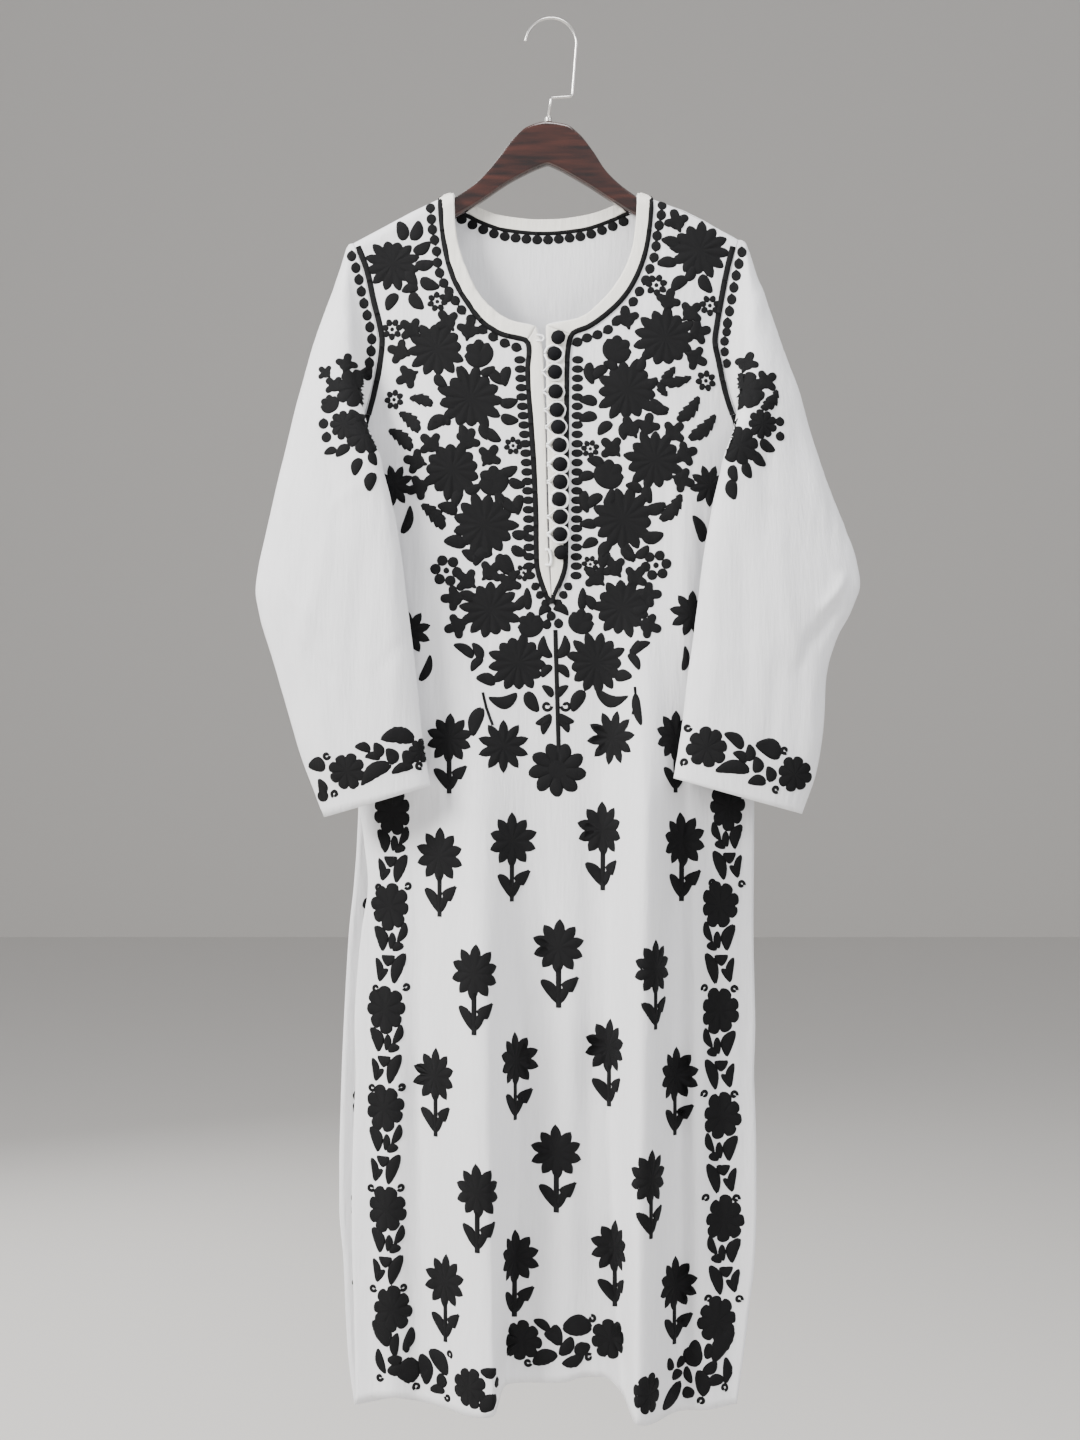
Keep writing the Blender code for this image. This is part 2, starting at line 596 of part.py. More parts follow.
def add_loops(parts, cotton):
    for i, (x, down) in enumerate(zip(BUTTONS["x"], BUTTONS["down"])):
        number = i + 1
        above_strip = LOOP_CORD_RADIUS + GAP if number in FREE_LOOPS else LOOP_LIFT
        lift = GAP + BAND_WALL + above_strip
        path = [lifted(px, pd, front_y, -1, lift) for px, pd in loop_path(number, x, down)]
        add_tube(f"loop_{number:02d}", path, LOOP_CORD_RADIUS, 1, cotton, parts)


def wood_ring(x):
    """The bar's section at x: a rectangle with its four edges cut off."""
    visible = WOOD_TOP["x"][0] <= x <= WOOD_TOP["x"][-1]
    if visible:
        top = float(read(WOOD_TOP, "x", "down", x))
    else:
        top = float(read(SHOULDER, "x", "down", x)) + WOOD_BELOW_SEAM
    bottom = float(read(WOOD_BOTTOM, "x", "down", x))
    from_end = min(x - WOOD_LEFT_END, WOOD_RIGHT_END - x) / WOOD_END_ROUND
    rounding = math.sqrt(1 - (1 - min(from_end, 1)) ** 2) * 0.75 + 0.25
    middle = (top + bottom) / 2
    top = middle + (top - middle) * rounding
    bottom = middle + (bottom - middle) * rounding
    half = WOOD_HALF_THICKNESS * (0.5 + 0.5 * rounding)
    cut = min(WOOD_CHAMFER, half * 0.6, (bottom - top) * 0.3)
    return [
        (x, -half + cut, top), (x, half - cut, top), (x, half, top + cut), (x, half, bottom - cut),
        (x, half - cut, bottom), (x, -half + cut, bottom), (x, -half, bottom - cut), (x, -half, top + cut),
    ]


def hook_path(foot_down):
    """The wire from the hook's tip over the crown, down its right side and in to the stem's foot."""
    centre_down = HOOK_RADIUS - HOOK_WIRE_RADIUS
    path = []
    for k in range(HOOK_STEPS + 1):
        angle = math.radians(HOOK_TIP_DEGREES * (1 - k / HOOK_STEPS))
        path.append((HOOK_RADIUS * math.cos(angle), 0, centre_down - HOOK_RADIUS * math.sin(angle)))
    side_x = HOOK_RADIUS + HOOK_SIDE_LEAN
    for k in range(CORNER_STEPS + 1):
        angle = math.pi / 2 * k / CORNER_STEPS
        corner_x = side_x - HOOK_CORNER * (1 - math.cos(angle))
        path.append((corner_x, 0, HOOK_KNEE_DOWN - HOOK_CORNER * (1 - math.sin(angle))))
    bend_x = STEM_X + STEM_BEND_RIGHT
    bend_down = HOOK_KNEE_DOWN + STEM_BEND_FALL
    for k in range(CORNER_STEPS + 1):
        angle = math.pi / 2 * k / CORNER_STEPS
        corner_x = bend_x + STEM_CORNER * (1 - math.sin(angle))
        path.append((corner_x, 0, bend_down + STEM_CORNER * (1 - math.cos(angle))))
    path.append((STEM_X, 0, foot_down))
    return path


def add_hanger(parts, wood, metal):
    rings = [wood_ring(x) for x in WOOD_STATIONS]
    sides = len(rings[0])
    faces = faces_between(len(rings), sides, True, False)
    faces.append(tuple(range(sides))[::-1])
    faces.append(tuple(len(rings) * sides - sides + i for i in range(sides)))
    mesh = mesh_of("hanger_bar", [point for ring in rings for point in ring], faces)
    mesh.set_sharp_from_angle(angle=math.radians(40))
    shell = bmesh.new()
    shell.from_mesh(mesh)
    bmesh.ops.recalc_face_normals(shell, faces=shell.faces)
    shell.to_mesh(mesh)
    shell.free()
    add_object("hanger_bar", mesh, wood, parts)

    bar_top = min(WOOD_TOP["down"])
    collar = bmesh.new()
    bmesh.ops.create_cone(
        collar, cap_ends=True, segments=20, radius1=FERRULE_RADIUS * MM, radius2=FERRULE_RADIUS * MM,
        depth=FERRULE_HEIGHT * MM,
    )
    mesh = bpy.data.meshes.new("hanger_ferrule")
    collar.to_mesh(mesh)
    collar.free()
    mesh.shade_smooth()
    mesh.set_sharp_from_angle(angle=math.radians(40))
    ferrule = add_object("hanger_ferrule", mesh, metal, parts)
    ferrule_middle = bar_top - GAP - FERRULE_HEIGHT / 2
    ferrule.location = (STEM_X * MM, 0, -ferrule_middle * MM)
    ferrule_top = ferrule_middle - FERRULE_HEIGHT / 2

    add_tube("hanger_hook", hook_path(ferrule_top - GAP), HOOK_WIRE_RADIUS, 2, metal, parts)


def main():
    for old in list(bpy.data.objects):
        bpy.data.objects.remove(old)
    parts = bpy.data.collections.new("kurta_tunic")
    bpy.context.scene.collection.children.link(parts)
    cotton = material("white_cotton", (0.86, 0.86, 0.87), 0.85)
    black = material("black_cloth", (0.01, 0.01, 0.012), 0.6)
    wood = material("dark_wood", (0.06, 0.018, 0.012), 0.25)
    metal = material("brushed_nickel", (0.72, 0.70, 0.67), 0.3, 1.0)
    add_body(parts, cotton)
    add_sleeves(parts, cotton)
    add_buttons(parts, black)
    add_loops(parts, cotton)
    add_hanger(parts, wood, metal)


main()
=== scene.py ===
"""The looks of the kurta tunic on its hanger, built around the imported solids.

The cloth's form is the solids' own, from the same tables, with creases and needlework laid on it. Sizes
are in millimetres, "down" is the distance below the origin, and the front faces -Y.
"""

import math

import bmesh
import bpy
import numpy as np
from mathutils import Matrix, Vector
from mathutils.bvhtree import BVHTree


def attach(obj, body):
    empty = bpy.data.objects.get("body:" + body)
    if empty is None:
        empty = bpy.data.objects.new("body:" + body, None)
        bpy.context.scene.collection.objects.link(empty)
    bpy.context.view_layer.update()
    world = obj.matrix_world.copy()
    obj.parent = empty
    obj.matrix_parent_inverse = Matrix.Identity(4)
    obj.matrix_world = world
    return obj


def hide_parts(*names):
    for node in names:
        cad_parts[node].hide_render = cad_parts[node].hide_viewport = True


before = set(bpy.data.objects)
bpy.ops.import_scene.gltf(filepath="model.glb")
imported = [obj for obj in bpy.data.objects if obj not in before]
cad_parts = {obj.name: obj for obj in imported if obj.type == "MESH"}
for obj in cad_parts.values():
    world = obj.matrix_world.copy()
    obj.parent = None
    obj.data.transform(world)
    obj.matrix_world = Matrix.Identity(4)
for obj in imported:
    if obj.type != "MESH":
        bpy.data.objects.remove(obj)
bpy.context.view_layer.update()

MM = 0.001

# cloth and seams
BAND_WALL = 1.2
GAP = 0.3
SEAM_HALF_GAP = 0.55
SLEEVE_GAP = 0.4

# body
SHOULDER_ROUND = 12.0  # how far below the shoulder seam the cloth has turned down
SIDE_ROUND = 75.0  # how far in from a side edge the body reaches its full depth
HEM_DOWN = 1322.0
HEM_CURVE_STARTS = 1120.0
BODY_COLUMNS = 12
BACK_SHOULDER_CELLS = 5
BACK_NECK_CELLS = 11

# buttons and loops
BUTTON_LIFT = 0.7
LOOP_CORD_RADIUS = 0.7
LOOP_RADIUS = 6.6
LOOP_LIFT = 1.3
LOOP_POINTS = 9
LOOP_FOOT = 2.7  # half the distance between the two ends of a loop that hangs free

# hanger
HOOK_RADIUS = 24.4
HOOK_WIRE_RADIUS = 1.3
HOOK_TIP_DEGREES = 175.0
HOOK_STEPS = 18
HOOK_SIDE_LEAN = -3.6
HOOK_KNEE_DOWN = 74.2
HOOK_CORNER = 4.0
STEM_BEND_RIGHT = 2.4  # the wire bends down this far to the right of the stem's foot
STEM_BEND_FALL = 0.8
STEM_CORNER = 2.2
CORNER_STEPS = 4
FERRULE_HEIGHT = 4.5
STEM_X = -2.4
WOOD_HALF_THICKNESS = 5.6
WOOD_CHAMFER = 3.4
WOOD_BELOW_SEAM = 3.0
WOOD_END_ROUND = 8.0


def table(columns, *rows):
    """Rows of numbers, kept as one array for each named column."""
    return dict(zip(columns.split(), np.array(rows, float).T))


# the shoulder seams, with the hanger's slope between them
SHOULDER = table(
    "x down",
    (-189.6, 215.1), (-162.8, 200.7), (-138.9, 187.3), (-110.1, 173.9), (-92.9, 168.2), (-84, 160),
    (-40, 136), (-5, 118), (30, 136), (74, 160), (82.4, 168.2), (97.8, 172.9), (130.3, 184.4),
    (147.6, 193.1), (178.7, 211.3), (191.2, 218.0),
)

# the side edges of the front: armhole, side seam below 411, slit below 743
FRONT_EDGE = table(
    "down left right",
    (211.3, -190.6, 179.1), (244, -178.4, 170.7), (273, -172.0, 165.0), (295, -166.4, 161.2),
    (310, -164.0, 159.2), (332, -166.2, 163.5), (360, -172.0, 169.8), (385, -179.5, 179.0),
    (411, -187.0, 187.5), (500, -189.0, 190.5), (620, -188.0, 192.5), (743, -184.5, 194.5),
    (826, -174.5, 193.4), (878, -181.3, 193.0), (962, -187.3, 194.6), (1002, -186.2, 193.4),
    (1080, -189.0, 195.6), (1157, -190.0, 195.6), (1225, -188.0, 189.6), (1300, -186.5, 180.5),
    (1330, -186.0, 176.0),
)

BACK_EDGE = table(
    "down left right",
    (211.3, -190.6, 179.1), (244, -181.5, 173.0), (273, -176.0, 168.5), (310, -170.5, 166.0),
    (360, -175.0, 173.0), (411, -187.0, 187.5), (500, -189.0, 190.5), (620, -188.0, 192.5),
    (743, -184.5, 194.5), (827, -189.2, 190.5), (878, -194.5, 189.5), (945, -198.4, 190.5),
    (1004, -201.2, 189.5), (1129, -204.0, 191.0), (1195, -199.3, 188.0), (1261, -196.4, 184.0),
    (1330, -188.0, 174.0),
)

# how far the cloth stands out from the middle plane, in the middle of the body and at its side edges
FRONT_DEPTH = table(
    "down middle edge",
    (168, 11.5, 10), (215, 13, 11), (250, 17, 12.5), (308, 23, 15), (360, 27, 12), (395, 29, 5.5),
    (411, 30, 2.3), (743, 30, 2.3), (800, 29, 7), (900, 27, 11), (1060, 22, 12), (1200, 15, 11),
    (1335, 11, 9),
)

BACK_DEPTH = table(
    "down middle edge",
    (168, 11.5, 10), (215, 12.5, 10.5), (250, 15, 12), (308, 20, 14), (360, 22, 11), (395, 23, 5.5),
    (411, 24, 2.3), (743, 22, 2.3), (800, 20, 6), (900, 18, 9), (1060, 17, 10), (1335, 14, 9),
)

# vertical folds: a crest at x with its two half widths, growing from its start to its full depth
FRONT_FOLDS = table(
    "starts full x x_hem left left_hem right right_hem depth",
    (560, 1040, -72, -54, 66, 74, 50, 11, 44),
    (500, 850, 90, 80, 46, 13, 42, 46, 46),
    (430, 700, 118, 150, 24, 24, 24, 24, 5),
    (800, 1150, -148, -150, 26, 24, 26, 24, 6),
    (700, 1100, 18, 10, 30, 34, 28, 30, 5),
)

BACK_FOLDS = table(
    "starts full x x_hem left left_hem right right_hem depth",
    (620, 1100, -95, -92, 52, 58, 48, 30, 22),
    (560, 1050, 60, 52, 50, 28, 55, 66, 26),
    (760, 1200, 142, 146, 26, 26, 26, 26, 8),
    (700, 1150, -20, -24, 30, 30, 30, 30, 7),
)

FRONT_HEM = table(
    "x down",
    (-187, 1323), (-152, 1315), (-121, 1321), (-70, 1324), (-54, 1321), (-43, 1303), (9, 1301),
    (37, 1296), (62, 1299), (70, 1317), (79, 1328), (97, 1331), (125, 1329), (150, 1327), (176, 1323),
)

BACK_HEM = table(
    "x down",
    (-188, 1330), (-120, 1318), (-60, 1310), (0, 1305), (60, 1309), (120, 1319), (174, 1323),
)

# the front neck, from the shoulder seam to the slit: the band's inner and outer edges on either side
FRONT_NECK = table(
    "left_in left_in_down left_out left_out_down right_in right_in_down right_out right_out_down",
    (-92.4, 168.0, -106.2, 172.6, 82.2, 168.0, 96.1, 172.4),
    (-92.4, 169.5, -106.2, 174.1, 82.2, 169.5, 96.1, 173.9),
    (-92.3, 173.0, -106.2, 177.6, 82.1, 173.0, 96.1, 177.4),
    (-92.1, 180.0, -105.8, 184.6, 81.8, 180.0, 95.8, 184.4),
    (-91.3, 198.0, -104.2, 203.5, 80.6, 198.0, 94.2, 202.5),
    (-88.2, 218.5, -100.8, 226.0, 77.9, 218.4, 90.8, 223.5),
    (-80.4, 242.0, -92.9, 252.4, 70.7, 240.4, 82.5, 248.0),
    (-70.9, 262.5, -81.0, 273.5, 59.7, 259.2, 70.5, 268.5),
    (-56.7, 279.8, -66.0, 293.5, 45.5, 275.5, 54.0, 285.5),
    (-39.4, 291.6, -47.0, 306.0, 28.0, 289.0, 36.0, 298.5),
    (-14.3, 298.1, -22.8, 313.0, -4.8, 297.2, 19.8, 306.4),
)

# the front's other rows, at the side edge and at the centre
FRONT_ROWS = table(
    "edge centre",
    (394, 322), (411, 352), (445, 388), (485, 430), (525, 476), (565, 518), (610, 556),
    (655, 606), (700, 658), (743, 708), (785, 758), (828, 808), (872, 858), (917, 908), (962, 957),
    (1007, 1005), (1052, 1052), (1097, 1097), (1142, 1142), (1187, 1187), (1230, 1230), (1274, 1274),
    (1322, 1322),
)

ARMHOLE_BELOW_TIP = (0.0, 1.5, 5.0, 12.5)
ARMHOLE_DOWN = (250.0, 272.0, 292.0, 310.0, 330.0, 352.0, 374.0, 394.0, 411.0)
SLIT_ROWS = 17  # the last row of the front that is still open at the centre is the one before

# the centre slit and the outer edges of the two placket strips
PLACKET = table(
    "down left_out left_in right_in right_out",
    (298, -22.8, -14.3, -4.8, 19.8), (322, -20.6, -7.8, -4.6, 15.8), (365, -18.1, -6.2, -4.4, 15.2),
    (419, -14.3, -5.0, -3.4, 15.0), (473, -11.9, -3.8, -2.2, 14.6), (518, -11.2, -2.4, -1.0, 14.2),
    (533, -11.0, -1.6, 0.2, 14.1), (556, -3.6, 0.4, 0.4, 4.4), (640, -12.0, 0.4, 0.4, 13.0),
    (1340, -13.0, 0.4, 0.4, 14.0),
)

BACK_NECK = table(
    "x down",
    (-106.2, 172.6), (-92.4, 167.6), (-81.7, 171.8), (-70.1, 177.5), (-44.2, 186.1), (-7.6, 189.4),
    (28.9, 186.1), (58.7, 176.7), (71.2, 171.4), (82.2, 167.6), (96.1, 172.4),
)

BUTTONS = table(
    "x down",
    (7.4, 309.6), (2.6, 325.1), (3.4, 342.7), (4.4, 361.3), (5.6, 378.8), (6.6, 395.0), (7.7, 412.0),
    (8.6, 430.0), (8.4, 446.6), (7.6, 463.0), (8.3, 479.6), (8.4, 496.0), (9.6, 513.2),
)
# the loops that hang free of their buttons: how far they reach to the right, and how far they drop
FREE_LOOPS = {1: (4.6, 0.0), 13: (3.0, 9.0)}

# each sleeve lies between an outer and an inner fold edge; one row for each section after the armhole
LEFT_SLEEVE = table(
    "outer_x outer_down outer_y inner_x inner_down inner_y half_depth",
    (-194.5, 219, 0, -189, 414, -4, 14), (-197.5, 232, -1, -188, 417, -13, 18),
    (-201, 252, -3, -180, 419, -25, 21), (-211, 283, -6, -169, 421, -37, 23),
    (-224, 315, -10, -161.5, 424, -46, 24), (-234, 345, -14, -158.5, 430, -50, 25),
    (-241, 375, -18, -156, 441, -51, 25), (-250, 417, -22, -149, 468, -51, 24),
    (-259.5, 454, -26, -143, 497, -52, 24), (-268.5, 492, -29, -138.5, 530, -53, 24),
    (-276, 527, -32, -134.5, 562, -53, 24), (-278.5, 549, -34, -131.5, 585, -53, 24),
    (-274, 575, -36, -128.5, 608, -53, 24), (-263, 611, -38, -125, 641, -54, 24),
    (-251, 652, -40, -121.5, 674, -54, 23), (-236, 702, -43, -117.5, 706, -55, 22),
    (-212.6, 762, -45, -113, 732.5, -55, 20),
)

RIGHT_SLEEVE = table(
    "outer_x outer_down outer_y inner_x inner_down inner_y half_depth",
    (184.5, 214, 0, 189, 414, -4, 14), (190, 221, -0.5, 188, 417, -13, 18),
    (193, 238, -2, 181, 419, -25, 21), (203, 275, -6, 170, 421, -37, 23),
    (215, 306, -10, 163, 424, -46, 24), (225, 335, -14, 160, 430, -50, 25),
    (234.5, 363, -18, 157.5, 441, -51, 25), (245, 404, -22, 152, 465, -51, 24),
    (262, 450, -26, 146.5, 493, -52, 24), (277.5, 490, -29, 141, 527, -53, 24),
    (288, 521, -32, 137.5, 557, -53, 24), (291, 543, -34, 134.5, 580, -53, 24),
    (283, 567, -36, 132, 600, -53, 24), (268, 597, -38, 128, 625, -54, 24),
    (258, 634, -40, 124.5, 655, -54, 24), (255.5, 676, -42, 121, 683, -55, 23),
    (247.5, 722, -44, 117.5, 706, -55, 22), (234.7, 759, -45, 114.4, 725.4, -55, 20),
)

# how far the front and the back of each section after the armhole have left the armhole's own shape
SLEEVE_TURN_FRONT = (0.2, 0.45, 0.7, 0.9, 1, 1, 1, 1)
SLEEVE_TURN_BACK = (0.02, 0.07, 0.15, 0.28, 0.45, 0.65, 0.83, 0.95)
# near a section's inner fold the cloth leans, the front towards the body and the back away from it
SLEEVE_LEAN = (0.15, 0.35, 0.5, 0.5, 0.4, 0.25, 0.125)
SLEEVE_LEAN_POWER = 4
SLEEVE_FULLNESS = 0.8  # below 1 the folded edges are rounder than an oval's
SLEEVE_ROLL = 1.15  # how far the underarm seam turns to the back, as an angle
SLEEVE_ROLL_SECTIONS = 2
SLEEVE_STEP = 2.6
SLEEVE_STEP_SWING = 0.8
UNDERARM_STEP = 2.0

# the wooden bar's upper and lower edges, up to where the cloth covers it
WOOD_TOP = table(
    "x down",
    (-91.3, 170.8), (-73.1, 158.6), (-61.9, 147.4), (-49.2, 132.2), (-36.5, 115.5), (-22.2, 103.0),
    (-4.8, 98.4), (14.4, 101.1), (26.9, 110.0), (39.8, 126.0), (52.4, 145.0), (66.8, 159.2),
    (82.6, 170.8),
)
WOOD_BOTTOM = table(
    "x down",
    (-186.5, 224), (-183, 229), (-175, 230), (-150, 219), (-120, 205), (-91.3, 190.2), (-69.9, 177.5),
    (-36.5, 155.3), (-6, 141.0), (-3.1, 140.2), (0, 141.2), (33.4, 159.2), (57.2, 174.4),
    (82.6, 189.4), (115, 201), (140, 212), (165, 226), (173, 226), (177.5, 219.5),
)
WOOD_LEFT_END = -186.0
WOOD_RIGHT_END = 177.0


def rows_of(rows):
    """Each row of a table, as a dictionary of its columns."""
    return [dict(zip(rows, values)) for values in zip(*rows.values())]


def read(rows, key, column, place):
    """A column of a table at any place, on a smooth curve that never overshoots its rows."""
    xs = rows[key]
    ys = rows[column]
    place = np.clip(place, xs[0], xs[-1])
    step = np.diff(xs)
    slope = np.diff(ys) / step
    same_way = slope[:-1] * slope[1:] > 0
    both = np.where(same_way, slope[:-1] + slope[1:], 1.0)
    inner = np.where(same_way, 2 * slope[:-1] * slope[1:] / both, 0.0)
    tangent = np.concatenate([slope[:1], inner, slope[-1:]])
    i = np.clip(np.searchsorted(xs, place, side="right") - 1, 0, len(step) - 1)
    t = (place - xs[i]) / step[i]
    rise = ys[i + 1] - ys[i]
    a = step[i] * tangent[i] - rise
    b = rise - step[i] * tangent[i + 1]
    return ys[i] + t * rise + t * (1 - t) * ((1 - t) * a + t * b)


def smooth(t):
    """From 0 to 1 with a soft start and end."""
    t = np.clip(t, 0, 1)
    return t * t * (3 - 2 * t)


def fold_depth(folds, x, down):
    """How far all the folds of a panel stand out together at a place."""
    total = 0.0
    for fold in rows_of(folds):
        grown = smooth((down - fold["starts"]) / (fold["full"] - fold["starts"]))
        to_hem = np.clip((down - fold["starts"]) / (HEM_DOWN - fold["starts"]), 0, 1)
        crest = fold["x"] + (fold["x_hem"] - fold["x"]) * to_hem
        left = fold["left"] + (fold["left_hem"] - fold["left"]) * to_hem**2
        right = fold["right"] + (fold["right_hem"] - fold["right"]) * to_hem**2
        t = (x - crest) / np.where(x < crest, left, right)
        total = total + fold["depth"] * grown * (1 + np.cos(math.pi * np.clip(t, -1, 1))) / 2
    return total


def stand_out(x, down, edges, depths, folds):
    """The distance of a panel's outer face from the middle plane."""
    left = read(edges, "down", "left", down)
    right = read(edges, "down", "right", down)
    from_side = np.clip(np.minimum(x - left, right - x) / SIDE_ROUND, 0, 1)
    edge = read(depths, "down", "edge", down)
    middle = read(depths, "down", "middle", down)
    full = edge + (middle - edge) * np.sin(from_side * math.pi / 2) + fold_depth(folds, x, down)
    below = np.clip((down - read(SHOULDER, "x", "down", x)) / SHOULDER_ROUND, 0, 1)
    turned = np.sqrt(1 - (1 - below) ** 2)
    return SEAM_HALF_GAP + (full - SEAM_HALF_GAP) * turned


def front_y(x, down):
    """The front panel's outer face."""
    return -stand_out(x, down, FRONT_EDGE, FRONT_DEPTH, FRONT_FOLDS)


def back_y(x, down):
    """The back panel's outer face."""
    return stand_out(x, down, BACK_EDGE, BACK_DEPTH, BACK_FOLDS)


def hem_shift(hem, x, down):
    """How far the rows near the hem drop or rise to follow its line."""
    near = smooth((down - HEM_CURVE_STARTS) / (HEM_DOWN - HEM_CURVE_STARTS))
    return (read(hem, "x", "down", x) - HEM_DOWN) * near


def even_places(start, end, count, face_y):
    """Places from start to end, (x, down), the same length of cloth apart."""
    t = np.linspace(0, 1, 241)
    x = start[0] + (end[0] - start[0]) * t
    down = start[1] + (end[1] - start[1]) * t
    y = face_y(x, down)
    along = np.concatenate([[0], np.cumsum(np.sqrt(np.diff(x) ** 2 + np.diff(y) ** 2 + np.diff(down) ** 2))])
    at = np.interp(np.linspace(0, along[-1], count + 1), along, t)
    return [(start[0] + (end[0] - start[0]) * a, start[1] + (end[1] - start[1]) * a) for a in at]


def armhole_downs(side):
    tip = 215.1 if side == "left" else 211.3
    return [tip + below for below in ARMHOLE_BELOW_TIP] + list(ARMHOLE_DOWN)


def front_rows(side):
    """Half of the front as rows of (x, down) from the centre, by the band, out to the side edge."""
    rows = []
    armhole = armhole_downs(side)
    necks = len(FRONT_NECK["left_in"])
    edge_downs = armhole[:necks] + list(FRONT_ROWS["edge"])
    for i, edge_down in enumerate(edge_downs):
        edge = (float(read(FRONT_EDGE, "down", side, edge_down)), edge_down)
        if i < necks:
            inner = (FRONT_NECK[side + "_in"][i], FRONT_NECK[side + "_in_down"][i])
            outer = (FRONT_NECK[side + "_out"][i], FRONT_NECK[side + "_out_down"][i])
        else:
            centre_down = FRONT_ROWS["centre"][i - necks]
            inner = (float(read(PLACKET, "down", side + "_in", centre_down)), centre_down)
            outer_x = float(read(PLACKET, "down", side + "_out", centre_down))
            share = (outer_x - inner[0]) / (edge[0] - inner[0])
            outer = (outer_x, centre_down + (edge_down - centre_down) * share)
        places = [inner] + even_places(outer, edge, BODY_COLUMNS, front_y)
        rows.append([(x, down + float(hem_shift(FRONT_HEM, x, down))) for x, down in places])
    return rows


def back_rows():
    """The back as rows of (x, down) from the left edge to the right edge."""
    neck_left = BACK_NECK["x"][0]
    neck_right = BACK_NECK["x"][-1]
    tips = (armhole_downs("left")[0], armhole_downs("right")[0])
    left_tip = float(read(BACK_EDGE, "down", "left", tips[0]))
    right_tip = float(read(BACK_EDGE, "down", "right", tips[1]))
    top_x = np.concatenate([
        np.linspace(left_tip, neck_left, BACK_SHOULDER_CELLS + 1)[:-1],
        np.linspace(neck_left, neck_right, BACK_NECK_CELLS + 1),
        np.linspace(neck_right, right_tip, BACK_SHOULDER_CELLS + 1)[1:],
    ])
    over_neck = (top_x > neck_left) & (top_x < neck_right)
    seam = read(SHOULDER, "x", "down", top_x)
    top_down = np.where(over_neck, read(BACK_NECK, "x", "down", top_x), seam)
    top_share = (top_x - left_tip) / (right_tip - left_tip)
    rows = []
    for below in ARMHOLE_BELOW_TIP:
        left = float(read(BACK_EDGE, "down", "left", tips[0] + below))
        right = float(read(BACK_EDGE, "down", "right", tips[1] + below))
        rows.append(list(zip(left + (right - left) * top_share, top_down + below)))
    levels = list(ARMHOLE_DOWN) + list(FRONT_ROWS["edge"][2:])
    for i, level in enumerate(levels):
        released = smooth((i + 1) / (len(ARMHOLE_DOWN) + 2))
        left = float(read(BACK_EDGE, "down", "left", level))
        right = float(read(BACK_EDGE, "down", "right", level))
        even = even_places((left, level), (right, level), len(top_x) - 1, back_y)
        even_share = (np.array(even)[:, 0] - left) / (right - left)
        share = top_share + (even_share - top_share) * released
        x = left + (right - left) * share
        tip_down = tips[0] + (tips[1] - tips[0]) * share
        down = level + (top_down - tip_down) * (1 - released)
        rows.append(list(zip(x, down + hem_shift(BACK_HEM, x, down))))
    return rows


def sleeve_rings(side, sections):
    """The armhole's ring, made from the panels' own edges, and then a ring for each section."""
    outward = -1 if side == "left" else 1
    downs = armhole_downs(side)
    armhole = []
    for edges, face_y in ((FRONT_EDGE, front_y), (BACK_EDGE, back_y)):
        edge = []
        for down in downs:
            x = float(read(edges, "down", side, down))
            edge.append((x + outward * SLEEVE_GAP, float(face_y(x, down)), down))
        armhole.append(edge)
    armhole = np.array(armhole[0] + armhole[1][::-1])
    count = len(downs)
    half_turn = np.array([math.pi * (i + 0.5) / count for i in range(count)])
    angles = np.concatenate([half_turn, 2 * math.pi - half_turn[::-1]])
    near_fold = ((1 - np.cos(angles)) / 2) ** SLEEVE_LEAN_POWER
    towards_back = -np.sin(angles)
    leaving = SLEEVE_STEP + SLEEVE_STEP_SWING * towards_back
    leaving = leaving + (UNDERARM_STEP - leaving) * near_fold
    rings = [armhole]
    for k, row in enumerate(rows_of(sections)):
        outer = np.array([row["outer_x"], row["outer_y"], row["outer_down"]])
        inner = np.array([row["inner_x"], row["inner_y"], row["inner_down"]])
        roll = SLEEVE_ROLL * min(1, (k + 1) / SLEEVE_ROLL_SECTIONS)
        rolled = angles + roll * ((1 - np.cos(angles)) / 2) ** 2
        bulge = -np.sign(np.sin(rolled)) * np.abs(np.sin(rolled)) ** SLEEVE_FULLNESS
        oval = (outer + inner) / 2 - np.outer(np.cos(rolled), (inner - outer) / 2)
        oval[:, 1] += row["half_depth"] * bulge
        lean = SLEEVE_LEAN[k] if k < len(SLEEVE_LEAN) else 0.0
        oval[:, 0] += outward * lean * row["half_depth"] * bulge * near_fold
        if k < len(SLEEVE_TURN_FRONT):
            back_share = (1 + towards_back) / 2
            turn = SLEEVE_TURN_FRONT[k] + (SLEEVE_TURN_BACK[k] - SLEEVE_TURN_FRONT[k]) * back_share
            moved = armhole.copy()
            moved[:, 0] += outward * leaving * (k + 1)
            oval = moved + (oval - moved) * turn[:, None]
        rings.append(oval)
    return rings


